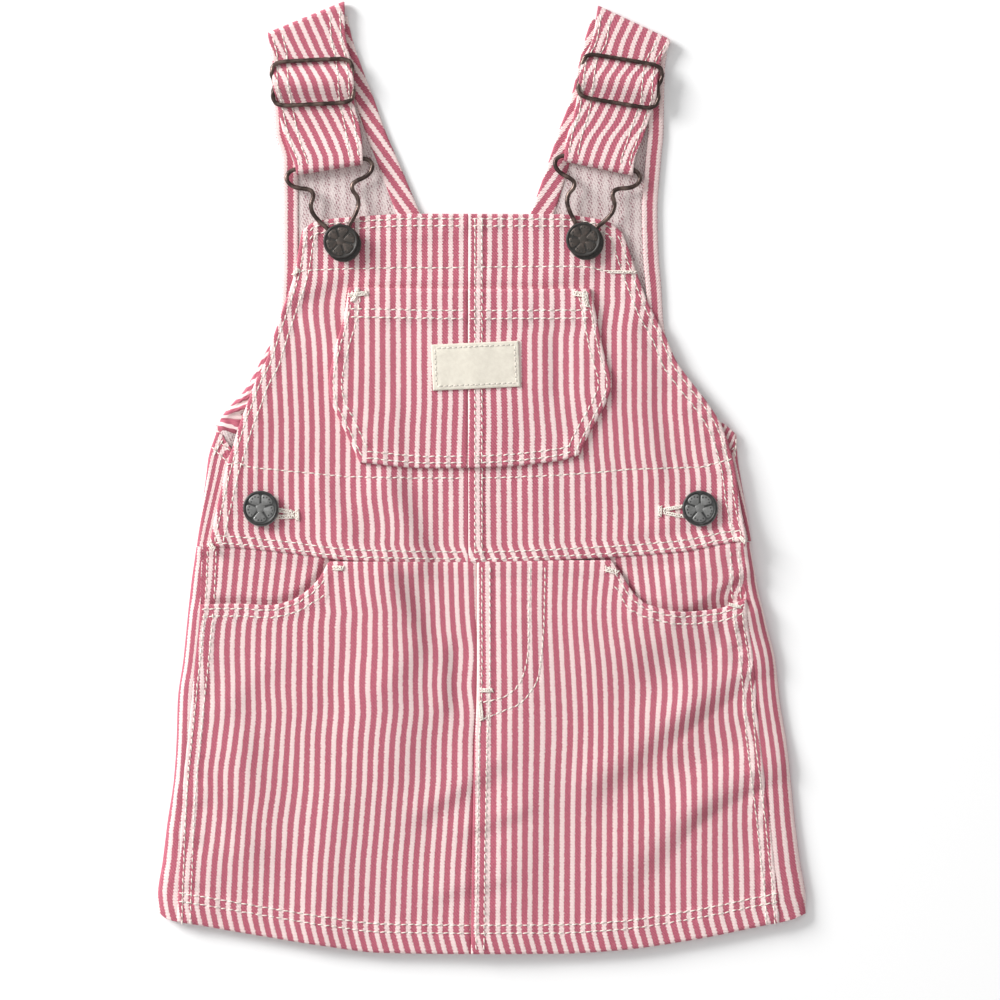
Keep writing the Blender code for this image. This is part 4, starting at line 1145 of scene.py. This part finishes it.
BIB_CREASES = folds_of(
    (-70, 74, -58, 50, 5, 0.45), (-76, 62, -62, 38, 5, -0.4), (-88, 24, -96, 0, 6, 0.4),
    (-70, 4, -86, -22, 6, -0.35), (-44, -8, -60, -26, 6, 0.3), (-16, -8, -14, -28, 5, -0.3),
    (20, -6, 24, -28, 6, 0.3), (60, 64, 56, 40, 5, 0.4), (66, 30, 84, 4, 6, -0.35),
    (80, 26, 92, 8, 5, 0.4), (56, -4, 66, -24, 6, -0.3), (-30, 98, -34, 86, 6, 0.25),
    (10, 98, 12, 82, 7, -0.25))
BIB_ROW = points_of(
    (-75.4, 82.2), (-60, 83.2), (-32.6, 83.8), (-12.6, 83.8), (7.4, 84.2), (39.4, 84.2), (47.4, 83),
    (51, 82.2))
WAIST_ROW = points_of(
    (-102.2, 5), (-96.6, 5.8), (-92.6, 4.2), (-72.6, 2.2), (-48.6, 0.2), (-0.6, -0.2), (31.4, 1),
    (47.4, 2.2), (63.4, 3.4), (87.4, 4.2), (92.2, 5.4), (100.2, 7.4))
BIB_TACKS = {
    "left": tacks_of((-75.2, 80.8, -73, 83.4, 1.6), (-109, -26.2, -106.4, -28.8, 2)),
    "right": tacks_of((50.6, 82.2, 61.8, 82, 1.3, 1.1), (103, -23.6, 105.2, -26, 1.8)),
}
BUTTONHOLES = {
    "left": tacks_of(
        (-83, -12.6, -74.6, -14.2, 2, 0.85), (-82.4, -15.8, -74.4, -15.6, 2, 0.85),
        (-73.8, -12.9, -73.4, -17.2, 1.7)),
    "right": tacks_of(
        (81, -11.4, 72.6, -12.9, 1.6, 0.85), (80.8, -15.6, 72.6, -14, 1.6, 0.85),
        (71.4, -11.4, 71.2, -15.6, 1.7)),
}
WAIST_LEAN = math.tan(math.radians(20))
bib_top = line(BIB_TOP_LINE)
bib_middle = straight(BIB_CENTRE)


def half_of(rows, side, low, high):
    """The parts of stitch rows on one half; the right one has two more beside the seam."""
    sign = SIDES[side]
    rows = [row[sign * (row[:, 0] - BIB_CENTRE) > 0.6] for row in rows]
    if side == "right":
        rows += [beside_edge(bib_middle, inset, low, high) for inset in (2.8, 5.6)]
    return rows


def felled_lift(x, y, side):
    """How far the bib's felled middle seam stands up on its right half."""
    return 0.35 * eased(x - BIB_CENTRE, 6.8, 6.2) if side == "right" else 0.0


for side, sign in SIDES.items():
    outer = column(BIB_SECTIONS, side)
    chart = stripe_chart(BIB_STRIPES[side], BIB_PULLS[side])
    rows = [beside_edge(outer, -sign * inset, -26.0, 97.0) for inset in (2.0, 5.4)]
    rows += [beside_line(bib_top, -inset, -69.0, 53.0) for inset in (2.0, 4.8)]
    rows += [smooth_path(BIB_ROW), smooth_path(WAIST_ROW)]
    rows += [beside_line(waist, inset, -106.5, 103.5) for inset in (1.6, 4.4)]
    rows = half_of(rows, side, -31.0, 104.0)

    def bib_over(x, y):
        """Height of the bib's outer face."""
        height = front_under(x, y) + CLOTH + fold_height(BIB_CREASES, x, y)
        height = height + 0.35 * eased(off_line(waist, x, y), 6.2, 5.4)
        height = height + 0.3 * eased(-sign * off_edge(outer, x, y), 7.0, 6.2)
        height = height + 0.3 * eased(-off_line(bib_top, x, y), 6.2, 5.4)
        return height + felled_lift(x, y, side) + sewn_relief(rows, x, y)

    bib = add_front(
        side, "bib_cloth_", "bib_", ordered(side, outer, bib_middle), waist, bib_top, (98, 137),
        lambda x, y, room: front_under(x, y), bib_over,
        lambda x, y: chart(x, y) - np.maximum(7.0 - off_line(waist, x, y), 0.0) * WAIST_LEAN,
        slack=0.6 if side == "left" else 0.0)
    sewing = sew_rows("bib_sewing_" + side, rows, bib_over, BIB_TACKS[side] + BUTTONHOLES[side])

# ---------------------------------------------------------------- bib pocket, in two halves
# A patch pocket in two halves like the bib, open at its top, which has a deep turned hem.
# Its right edge stands off the bib a little.
POCKET_SECTIONS = edges_of(
    (4, -47.6, 38), (12, -51.4, 40.4), (22, -56.2, 45.6), (31, -60.2, 50.2), (37, -61, 52),
    (51, -58.6, 48.6), (64, -55, 46), (76, -53, 43.4))
POCKET_TOP_LINE = points_of((-53, 76), (-5, 75.2), (44, 75.4))
POCKET_BOTTOM_LINE = points_of((-48, 5.8), (-21, 3.6), (0, 3.8), (31, 6.6), (39, 9))
POCKET_LIFTS = folds_of((46, 70, 51, 30, 7, 0.2))
POCKET_CREASES = folds_of(
    (-50, 40, -42, 20, 5, 0.35), (-30, 60, -34, 36, 6, -0.3), (24, 62, 30, 36, 6, -0.3),
    (40, 50, 42, 28, 4, 0.3), (6, 26, 4, 10, 7, 0.3))
POCKET_DRAPES = drapes_of(
    (27, 56, 28, 36, 5, 0.8), (-33, 30, -32, 16, 4, 0.5), (-56, 48, -52, 36, 5, 0.5),
    (42, 62, -42, 62, 4, 0.5))
POCKET_STRIPES = {
    "left": stripes_of((5, -10, 4.18), (19, -9.5, 4.2), (31, -9.1, 4.16), (75, -9.2, 4.16)),
    "right": stripes_of(
        (5, 1.8, 4.4), (13, 1.8, 4.4), (19, 2, 4.34), (25, 2, 4.24), (37, 1.8, 4.15),
        (55, 1.8, 4.14), (61, 1.9, 4.22), (77, 2, 4.2)),
}
POCKET_PULLS = {
    "left": pulls_of((-52, 30, 8, 12, -0.4)),
    "right": pulls_of((46, 22, 8, 8, 0.4)),
}
POCKET_TACKS = {
    "left": tacks_of((-53, 72.8, -45.4, 73.6, 2), (-51.6, 70.2, -49.2, 75.4, 1.6)),
    "right": tacks_of((36.6, 73.6, 42.6, 72.6, 2.4), (40.6, 74.2, 42.2, 68, 2)),
}
pocket_top = line(POCKET_TOP_LINE)
pocket_bottom = line(POCKET_BOTTOM_LINE)


def pocket_base(x, y, side):
    """Height of the pocket's underside, just off the bib."""
    plain = front_under(x, y) + CLOTH + fold_height(BIB_CREASES, x, y) + 0.2 + felled_lift(x, y, side)
    return plain + GAP + np.maximum(fold_height(POCKET_LIFTS, x, y), 0.0)


for side, sign in SIDES.items():
    outer = column(POCKET_SECTIONS, side)
    rows = [beside_line(pocket_top, -inset, -52.5, 43.0) for inset in (8.6, 11.8)]
    rows += [beside_edge(outer, -sign * inset, 6.4 + inset, 75.0) for inset in (1.8, 5.2)]
    rows += [beside_line(pocket_bottom, inset, -46.0, 36.0) for inset in (2.2, 4.8)]
    rows = half_of(rows, side, 5.0, 74.5)

    def pocket_over(x, y):
        """Height of the pocket's outer face."""
        height = pocket_base(x, y, side) + CLOTH + fold_height(POCKET_CREASES, x, y)
        height = height + drape_height(POCKET_DRAPES, x, y)
        height = height + 0.35 * eased(-off_line(pocket_top, x, y), 13.2, 12.4)
        height = height + 0.2 * eased(-sign * off_edge(outer, x, y), 6.8, 6.0)
        height = height + 0.2 * eased(off_line(pocket_bottom, x, y), 6.2, 5.6)
        return height + sewn_relief(rows, x, y)

    pocket = add_front(
        side, "pocket_cloth_", "bib_pocket_", ordered(side, outer, bib_middle), pocket_bottom,
        pocket_top, (50, 71), lambda x, y, room: pocket_base(x, y, side) - 0.5 * eased(room, 2.0, 0.0),
        pocket_over, stripe_chart(POCKET_STRIPES[side], POCKET_PULLS[side]))
    sewing = sew_rows("pocket_sewing_" + side, rows, pocket_over, POCKET_TACKS[side])

# ---------------------------------------------------------------- label
# A bare cream label of woven tape with its ends turned in, sewn round with small stitches
# on the pocket, a little askew.
LABEL_WIDTH = 35.0
LABEL_HEIGHT = 18.4
LABEL_TILT = math.radians(2.6)
LABEL_CLOTH = 1.0
LABEL_COLOUR = (0.86, 0.81, 0.70, 1.0)
LABEL_WORN = (0.45, 0.38, 0.30, 1.0)
LABEL_STITCH_INSET = 1.6
WARP = 0.42
WEFT = 0.36


def label_weave(tree, given, across, along):
    """Close woven cream tape, a little worn in patches."""
    weave = (across * (2 * math.pi / WARP)).sine() * (along * (2 * math.pi / WEFT)).sine()
    patch = noise(given["Place"], 0.5, 4.0)
    tone = ramp(patch + weave * 0.16, 0.3, 0.75)
    worn = blend_colours(tree, 0.18, given["Tape"], LABEL_WORN)
    return blend_colours(tree, tone, worn, given["Tape"]), weave + patch


def turned_point(place, tilt, x, y):
    """A point of a tilted piece, given from the piece's own middle, in the draft."""
    return (place[0] + x * math.cos(tilt) - y * math.sin(tilt),
            place[1] + x * math.sin(tilt) + y * math.cos(tilt))


def label_base(x, y):
    """Height of the label's underside: it spans the pocket's middle seam."""
    seam_ridge = 0.3 * np.exp(-((x - BIB_CENTRE - 3.0) / 6.0) ** 2)
    return pocket_base(x, y, "left") + seam_ridge + CLOTH + 0.25


def label_over(x, y):
    """Height of the label's face."""
    return label_base(x, y) + LABEL_CLOTH * 0.75 + sewn_relief(label_rows, x, y) * 0.6


label_tape = cloth_material("label_tape", weave_group("label_weave", {"Tape": "Color"}, label_weave),
                            {"Tape": LABEL_COLOUR}, 0.8, 0.35)
half_width = LABEL_WIDTH / 2 - LABEL_STITCH_INSET
half_height = LABEL_HEIGHT / 2 - LABEL_STITCH_INSET
turns = [turned_point(LABEL_PLACE, LABEL_TILT, x * half_width, y * half_height)
         for x, y in ((-1, -1), (1, -1), (1, 1), (-1, 1), (-1, -1))]
label_rows = [np.array(ends) for ends in zip(turns, turns[1:])]
u, v = np.meshgrid(edged_shares(LABEL_WIDTH, 0.7), edged_shares(LABEL_HEIGHT, 0.7))
across = (u - 0.5) * LABEL_WIDTH
up = (v - 0.5) * LABEL_HEIGHT
x, y = turned_point(LABEL_PLACE, LABEL_TILT, across, up)
edge_room = np.minimum(LABEL_WIDTH / 2 - abs(across), LABEL_HEIGHT / 2 - abs(up))
base = label_base(x, y)
over = base + (label_over(x, y) - base) * turned_thickness(edge_room)
label_piece = add_cloth("woven_label", grid_of(x, y, over), grid_of(x, y, base), grid_of(across, up),
                        outside=label_tape, inside=label_tape)
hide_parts("label")
sewing = sew_rows("label_sewing", label_rows, label_over, stitch=2.2, radius=0.17)

# ---------------------------------------------------------------- shoulder straps
# Each strap is sewn to the back at the shoulder fold, comes forward over its slide's bar,
# runs down to the hook, turns round its bar and goes back up underneath.
WIRE = 1.8
CENTRE_BAR = 1.4
SLIDE_CREASE = 10.0
SLIDE_HALF_HEIGHT = 8.8
LOOP_FALL = 16.0
HOOK_LENGTH = 31.2
STRAP_WIDTH = 28.0
STRAP_ROWS = (1.7, 5.3)
BEND_STEPS = 14
UNDER_Z = CLOTH + GAP + CLOTH / 2
LOOP_RADIUS = WIRE / 2 + GAP + CLOTH / 2
HOOK_BAR_Z = UNDER_Z + LOOP_RADIUS
STRAP_Z = UNDER_Z + CLOTH + GAP
SLIDE_Z = STRAP_Z + CLOTH / 2 + GAP + WIRE / 2
STRAP_OVER_Z = SLIDE_Z + CENTRE_BAR / 2 + GAP + CLOTH / 2
LOOP_NOSE = LOOP_RADIUS + CLOTH / 2
BIB_BUTTONS = {"left": (-56.2, 94.2), "right": (40.6, 95.0)}
HOOK_TILT = {"left": math.radians(9.2), "right": math.radians(-11.8)}
SLIDE_PLACE = {"left": (-67.4, 157.8), "right": (55.4, 158.2)}
SLIDE_TILT = {"left": math.radians(2.9), "right": math.radians(-9.5)}
STRAP_SECTIONS = {
    "left": edges_of(
        (120, -73.6, -47.8), (126, -74.8, -47.4), (132, -77.4, -47.6), (140, -79.8, -48.6),
        (150, -81.8, -50.8), (158, -83.4, -51), (168, -83.5, -52.6), (178, -85.4, -54.4),
        (191, -84.6, -54.8)),
    "right": edges_of(
        (120, 33.2, 60.4), (126, 33, 61), (136, 34.2, 64.6), (145, 37, 67.6), (151, 38, 69.8),
        (158, 38.8, 70.2), (166, 39.9, 71.4), (174, 44, 75.4), (190, 46.8, 75)),
}
STRAP_STRIPES = {
    "left": stripes_of(
        (118, -48.2, 4.1), (127, -48.5, 4.16), (133.4, -50, 4.47), (139.8, -52.8, 4.56),
        (146.2, -56, 4.64), (151.8, -59.4, 4.4), (158.2, -61.2, 4.48), (164.6, -64.8, 4.4),
        (171, -68.3, 4.24), (177.4, -71.2, 4.4), (190, -77, 4.4)),
    "right": stripes_of(
        (118, 36.6, 4.2), (128.6, 39.2, 4.4), (135, 41.6, 4.56), (141.4, 45.8, 4.7),
        (147.8, 49.2, 4.45), (155.8, 52.5, 4.27), (159, 53.5, 4.33), (165.4, 57.6, 4.5),
        (173.4, 59.9, 4.5), (190, 68, 4.7)),
}


def strap_creases(side):
    """Lines across the strap: at the loop, on both sides of the slide and at the shoulder."""
    bar = turned_point(BIB_BUTTONS[side], HOOK_TILT[side], 0.0, HOOK_LENGTH)
    slide = SLIDE_PLACE[side]
    fold = SHOULDER_FOLD[side]
    hook_slant = math.tan(HOOK_TILT[side])
    slide_slant = math.tan(SLIDE_TILT[side])
    lean = SLIDE_CREASE * math.sin(SLIDE_TILT[side])
    start = bar[1] - LOOP_NOSE
    low = slide[1] - SLIDE_CREASE
    high = slide[1] + SLIDE_CREASE
    return [
        Crease(0.0, bar[0], start, hook_slant),
        Crease(LOOP_NOSE * 2, bar[0], bar[1] + LOOP_NOSE, hook_slant),
        Crease(low - start, slide[0] + lean, low, slide_slant),
        Crease(high - start, slide[0] - lean, high, slide_slant),
        Crease(fold.y - start - STRAP_BACK_LEG - 1, fold.x, fold.y, fold.slope),
        Crease(fold.y - start, fold.x, fold.y, fold.slope),
    ]


def strap_profile(slide_up, length):
    """Middle of the strap's thickness as (distance up, height), and where its top layer is."""
    bend = np.linspace(0.0, math.pi, BEND_STEPS + 1)
    profile = [(up, UNDER_Z) for up in np.arange(slide_up - 4.0, 10.0, -2.0)]
    profile += [(LOOP_NOSE - LOOP_RADIUS * math.sin(angle), HOOK_BAR_Z - LOOP_RADIUS * math.cos(angle))
                for angle in bend]
    top_from = len(profile)
    loop_top = HOOK_BAR_Z + LOOP_RADIUS
    shoulder_radius = (STRAP_Z - CLOTH / 2) / 2
    shoulder = length - shoulder_radius - CLOTH / 2
    for place in np.arange(LOOP_NOSE + 1.0, shoulder - 0.6, 0.9):
        height = loop_top + (STRAP_Z - loop_top) * eased(place, LOOP_NOSE, LOOP_NOSE + LOOP_FALL)
        share = np.clip((place - slide_up) / SLIDE_HALF_HEIGHT, -1.0, 1.0)
        height += (STRAP_OVER_Z - STRAP_Z) * math.cos(math.pi * share / 2) ** 2
        profile.append((place, float(height)))
    top_to = len(profile)
    profile += [(shoulder + shoulder_radius * math.sin(angle),
                 CLOTH / 2 + shoulder_radius * (1 + math.cos(angle))) for angle in bend]
    profile.append((length - STRAP_BACK_LEG, CLOTH / 2))
    return np.array(profile), slice(top_from, top_to)


for side in SIDES:
    creases = strap_creases(side)
    crease_x = column(creases, "x", at="up")
    crease_slope = column(creases, "slope", at="up")
    start_y = creases[0].y
    left, right = (column(STRAP_SECTIONS[side], edge) for edge in SIDES)
    profile, top = strap_profile(SLIDE_PLACE[side][1] - start_y, creases[-1].up)
    ahead = unit(np.gradient(profile, axis=0))
    shares = edged_shares(STRAP_WIDTH, 0.9)
    across_room = np.minimum(shares, 1 - shares) * STRAP_WIDTH
    faces = []
    for half_cloth in (CLOTH / 2 * turned_thickness(across_room), -CLOTH / 2 * np.ones(len(shares))):
        place = profile[:, :1] - ahead[:, 1:] * half_cloth
        y = start_y + place
        for _ in range(MEET_STEPS):
            x = left(y) + (right(y) - left(y)) * shares
            y = start_y + place + crease_slope(place) * (x - crease_x(place))
        faces.append([x, y, profile[:, 1:] + ahead[:, :1] * half_cloth])
    x, y, z = faces[0]
    dips = sum(np.exp(-((across_room - inset) / 0.7) ** 2) for inset in STRAP_ROWS)
    waves = np.sin(y * 2 * math.pi / 6.8 + shares * 5) * np.exp(-(across_room / 6.0) ** 2)
    z[top] += (0.10 * waves - 0.15 * dips)[top]
    chart = stripe_chart(STRAP_STRIPES[side])
    strap = add_cloth("shoulder_strap_" + side, grid_of(x, y, z), grid_of(*faces[1]),
                      grid_of(chart(x, y), y))
    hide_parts("strap_" + side)
    sewn = []
    for inset in STRAP_ROWS:
        for share in (inset / STRAP_WIDTH, 1 - inset / STRAP_WIDTH):
            path = [[np.interp(share, shares, row) for row in rows] for rows in zip(x[top], y[top], z[top])]
            sewn.append(stitch_strands(np.array(path)))
    sewing = add_sewing("strap_sewing_" + side, *(np.concatenate(parts) for parts in zip(*sewn)))

# ---------------------------------------------------------------- slides and hooks
# Bent steel wire with a dark brown gunmetal finish, lighter in random patches: worn plating
# and painted highlights.  A slide is a pinched frame with a bar across, and a hook is one
# loop whose narrow end holds a button.
HOOK_RISE_FROM = 20.0
WIRE_SIDES = 14
WIRE_STEP = 0.3
NICK_PITCH = 3.1
# The lighter gunmetal tone stands partly for worn plating and partly for painted highlights.
GUNMETAL_DARK = (0.062, 0.042, 0.037, 1.0)
GUNMETAL_HIGHLIGHT = (0.19, 0.135, 0.115, 1.0)
HOOK_HALF = points_of(
    (0, 31.2), (8, 31.2), (14.6, 31.2), (17.2, 28.8), (16.5, 26), (13.8, 24), (10.2, 22.9),
    (8.2, 21.6), (8, 19.4), (9.4, 16.4), (9.2, 13), (7.2, 9.4), (4.4, 5.8), (3.6, 2.6), (3.5, 0),
    (2.5, -2.5), (0, -3.6))
SLIDE_QUARTER = points_of((0, 8.8), (7, 8.8), (12.6, 8.6), (15.4, 7.2), (16.1, 3.9), (15.2, 0))


def patchy_wear_and_highlights(tree, given):
    """Plating lighter in random patches, from rubbed wear and painted highlights, rougher in spots, and
    finely grained.
    """
    place, scale, rough = (given[label] for label in ("Place", "Scale", "Roughness"))
    patches = ramp(noise(place, scale, 4.0), 0.42, 0.68)
    spots = add_node(tree, "MapRange", {"Value": noise(place, scale * 3.0), "To Min": rough - 0.1,
                                        "To Max": rough + 0.18}).outputs["Result"]
    colour = blend_colours(tree, patches, given["Dark"], given["Light"])
    return colour, spots, noise(place, scale * 6.0, 3.0)


wear_and_highlight_plating = effect_group(
    "wear_and_highlight_plating", {"Dark": "Color", "Light": "Color", "Scale": "Float", "Roughness": "Float"},
    {"Colour": "Color", "Roughness": "Float", "Height": "Float"}, patchy_wear_and_highlights)


def metal_material(name, dark, light, scale, roughness, metallic=0.6):
    """Dark plated steel, with the wear and painted highlight patches of the group that all the metal
    shares.
    """
    material, shader = plain_material(name, dark, roughness)
    tree = material.node_tree
    place = add_node(tree, "TexCoord", {}).outputs["Object"]
    wear_and_highlights = add_node(tree, "Group", {"Place": place, "Dark": dark, "Light": light, "Scale": scale,
                                    "Roughness": roughness}, node_tree=wear_and_highlight_plating).outputs
    shader.inputs["Metallic"].default_value = metallic
    tree.links.new(wear_and_highlights["Colour"], shader.inputs["Base Color"])
    tree.links.new(wear_and_highlights["Roughness"], shader.inputs["Roughness"])
    add_relief(shader, wear_and_highlights["Height"], 0.35, 0.1)
    return material


gunmetal_wire = metal_material("gunmetal_wire", GUNMETAL_DARK, GUNMETAL_HIGHLIGHT, 260.0, 0.3, 0.8)


def wire_mesh(path, radius, closed, knurl=0.0):
    """Round wire along a path; knurl is the depth of the slanting nicks pressed in it."""
    if closed:
        path = np.concatenate([path, path[:1]])
    places = length_along(path)
    at = np.linspace(0.0, places[-1], int(places[-1] / WIRE_STEP) + 1)
    path = path_at(at, places, path)
    if closed:
        path, at = path[:-1], at[:-1]
        ahead = unit(np.roll(path, -1, axis=0) - np.roll(path, 1, axis=0))
    else:
        ahead = unit(np.gradient(path, axis=0))
    across = unit(np.cross(ahead, (0.0, 0.0, 1.0)))
    upward = np.cross(across, ahead)
    angle = 2 * math.pi * np.arange(WIRE_SIDES) / WIRE_SIDES
    nick = 0.5 + 0.5 * np.sin(at[:, None] * 2 * math.pi / NICK_PITCH + 2 * angle)
    width = radius * (1 - knurl * nick ** 3)
    rings = (path[:, None, :] + (across[:, None, :] * np.cos(angle)[:, None]
                                 + upward[:, None, :] * np.sin(angle)[:, None]) * width[..., None])
    index = np.arange(rings.size // 3).reshape(rings.shape[:2])
    after = np.roll(index, -1, axis=0) if closed else index[1:]
    first = index if closed else index[:-1]
    walls = grid_of(first, after, np.roll(after, -1, axis=1), np.roll(first, -1, axis=1))
    ends = [] if closed else [index[0].tolist(), index[-1][::-1].tolist()]
    return rings.reshape(-1, 3), walls.reshape(-1, 4).tolist() + ends


def joined(parts):
    """Points and faces of several parts as one."""
    points = []
    faces = []
    for more, more_faces in parts:
        faces += [[corner + len(points) for corner in face] for face in more_faces]
        points += [tuple(point) for point in more]
    return points, faces


def add_metal(name, node, parts, materials, kinds=()):
    """One piece of hardware made of parts, in place of its solid."""
    piece = place_mesh(name, *joined(parts), materials, kinds)
    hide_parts(node)
    return piece


def both_halves(half):
    """A half outline from its top to its foot, closed by its mirror image."""
    return half + [(-x, y) for x, y in reversed(half[1:-1])]


for side in SIDES:
    quarter = [tuple(point) for point in SLIDE_QUARTER]
    outline = both_halves(quarter + [(x, -y) for x, y in reversed(quarter[:-1])])
    reach = SLIDE_QUARTER[-1].x
    ring, bar = ([(*turned_point(SLIDE_PLACE[side], SLIDE_TILT[side], x, y), SLIDE_Z) for x, y in plan]
                 for plan in (outline, [(-reach, 0.0), (reach, 0.0)]))
    add_metal("strap_slide_" + side, "slide_" + side,
              [wire_mesh(smooth_path(ring, 8, closed=True), WIRE / 2, True, 0.16),
               wire_mesh(np.array(bar), CENTRE_BAR / 2, False)], [gunmetal_wire])

    button = BIB_BUTTONS[side]
    low_z = float(front_under(*button)) + CLOTH + GAP * 2 + WIRE / 2
    loop = []
    for x, y in both_halves([tuple(point) for point in HOOK_HALF]):
        rise = min(max((y - HOOK_RISE_FROM) / (HOOK_LENGTH - HOOK_RISE_FROM), 0.0), 1.0)
        loop.append((*turned_point(button, HOOK_TILT[side], x, y), low_z + (HOOK_BAR_Z - low_z) * rise))
    add_metal("strap_hook_" + side, "hook_" + side,
              [wire_mesh(smooth_path(loop, 8, closed=True), WIRE / 2, True, 0.05)], [gunmetal_wire])

# ---------------------------------------------------------------- tack buttons
# Pressed steel tack buttons: two dark ones on the bib, on which the hooks hang, and two
# antiqued ones at the waist.  Their faces have plain rings, beads and a small rosette.
SIDE_BUTTONS = {"left": (-88.2, -12.2), "right": (87.0, -12.2)}
BUTTON_RADIUS = 7.1
BUTTON_SIDES = 72
BUTTON_FACE = 1.38
SHANK_RADIUS = 2.1
dark_button = metal_material("dark_button", (0.050, 0.047, 0.044, 1.0), (0.070, 0.066, 0.062, 1.0),
                             500.0, 0.5)
dark_relief = metal_material("dark_relief", (0.072, 0.062, 0.055, 1.0), (0.115, 0.09, 0.078, 1.0),
                             500.0, 0.4)
antique_button = metal_material("antique_button", (0.050, 0.051, 0.050, 1.0), (0.085, 0.086, 0.084, 1.0),
                                500.0, 0.48)
antique_relief = metal_material("antique_relief", (0.20, 0.20, 0.195, 1.0), (0.27, 0.27, 0.265, 1.0),
                                500.0, 0.42)
CAP_RINGS = table_of("inset height shift")(
    (0.15, 1.0, 0.85), (0, 1.1, 0.85), (0, 1.4, 0.85), (0.15, 1.52, 0.85), (0.4, 1.5, 0.85),
    (0.55, 1.15, 0.85), (1.2, 1.15, 0.3), (0.6, 1.7, 0), (0.2, 1.95, 0), (0.17, 2.2, 0),
    (0.3, 2.48, 0), (0.55, 2.62, 0), (0.8, 2.64, 0), (1, 2.52, 0), (1.15, 2.38, 0), (2.4, 2.38, 0),
    (4, 2.38, 0), (6.2, 2.38, 0))
ROSETTE_BEADS = ((-0.38, 4.4), (-0.13, 4.9), (0.13, 4.9), (0.38, 4.4))


def ring_walls(rings, corners):
    """Faces between rings of points that lie one after the other."""
    return [(k, after, after + corners, k + corners) for ring in range(rings - 1)
            for k, after in zip(range(ring * corners, (ring + 1) * corners),
                                [*range(ring * corners + 1, (ring + 1) * corners), ring * corners])]


def dome(middle, radius, height, corners=8):
    """Points and faces of a small bead on a face."""
    points = []
    for share, level in ((1.0, 0.0), (0.86, 0.55), (0.5, 0.88)):
        for angle in 2 * math.pi * np.arange(corners) / corners:
            points.append((middle[0] + radius * share * math.cos(angle),
                           middle[1] + radius * share * math.sin(angle), middle[2] + height * level))
    points.append((middle[0], middle[1], middle[2] + height))
    faces = [tuple(reversed(range(corners)))] + ring_walls(3, corners)
    faces += [(2 * corners + k, 2 * corners + (k + 1) % corners, 3 * corners) for k in range(corners)]
    return points, faces


def lobe_plate(inner, outer, half_angle, middle, turn, lift, corners=28):
    """Points and faces of a low rounded plate on a button's face, between two radii."""
    points = []
    for shrink, level in ((1.0, 0.0), (0.97, 0.6), (0.86, 1.0)):
        for angle in 2 * math.pi * np.arange(corners) / corners:
            c, d = (math.copysign(abs(part) ** 0.6, part) * shrink
                    for part in (math.cos(angle), math.sin(angle)))
            radius = (inner + outer) / 2 + (outer - inner) / 2 * c
            way = turn + half_angle * d * (0.86 + 0.14 * c)
            points.append((middle[0] + radius * math.cos(way), middle[1] + radius * math.sin(way),
                           middle[2] + lift * level))
    return points, ring_walls(3, corners) + [tuple(range(2 * corners, 3 * corners))]


def add_button(name, node, place, shank, shift, lobes, tilt, materials):
    """A turned cap on its base plate, with a rosette of low plates and small beads on them."""
    base_z = float(front_under(*place)) + CLOTH + GAP
    rings = [(SHANK_RADIUS, 0.0, 0.0), (SHANK_RADIUS, shank, 0.0)]
    rings += [(BUTTON_RADIUS - ring.inset, ring.height - 1.0 + shank, ring.shift * shift)
              for ring in CAP_RINGS]
    angles = 2 * math.pi * np.arange(BUTTON_SIDES) / BUTTON_SIDES
    cap = [(place[0] + aside + radius * math.cos(angle), place[1] - aside + radius * math.sin(angle),
            base_z + lift) for radius, lift, aside in rings for angle in angles]
    faces = [tuple(reversed(range(BUTTON_SIDES))), *ring_walls(len(rings), BUTTON_SIDES),
             tuple(range(len(cap) - BUTTON_SIDES, len(cap)))]
    kinds = [0] * len(faces)
    kinds[1 + 4 * BUTTON_SIDES:1 + 6 * BUTTON_SIDES] = [1] * (2 * BUTTON_SIDES)
    middle = (place[0], place[1], base_z + BUTTON_FACE + shank)
    raised = [(dome(middle, 1.9, 0.24, 20), 1)]
    for k in range(lobes):
        turn = tilt + 2 * math.pi * k / lobes
        raised.append((lobe_plate(1.3, 5.75, math.pi / lobes * 0.98, middle, turn, 0.2), 1))
        for bead, away in ROSETTE_BEADS:
            spot = (middle[0] + away * math.cos(turn + bead), middle[1] + away * math.sin(turn + bead),
                    middle[2] + 0.19)
            raised.append((dome(spot, 0.34, 0.12), 0))
    for part, kind in raised:
        kinds += [kind] * len(part[1])
    button = add_metal(name, node, [(cap, faces)] + [part for part, _ in raised], materials, kinds)
    button.data.set_sharp_from_angle(angle=math.radians(50))


for side in SIDES:
    add_button("bib_tack_button_" + side, "bib_button_" + side, BIB_BUTTONS[side], WIRE + GAP * 3,
               1.4, 6, 0.3, [dark_button, dark_relief])
    add_button("side_tack_button_" + side, "side_button_" + side, SIDE_BUTTONS[side], 0.8,
               0.3, 5, 0.9, [antique_button, antique_relief])
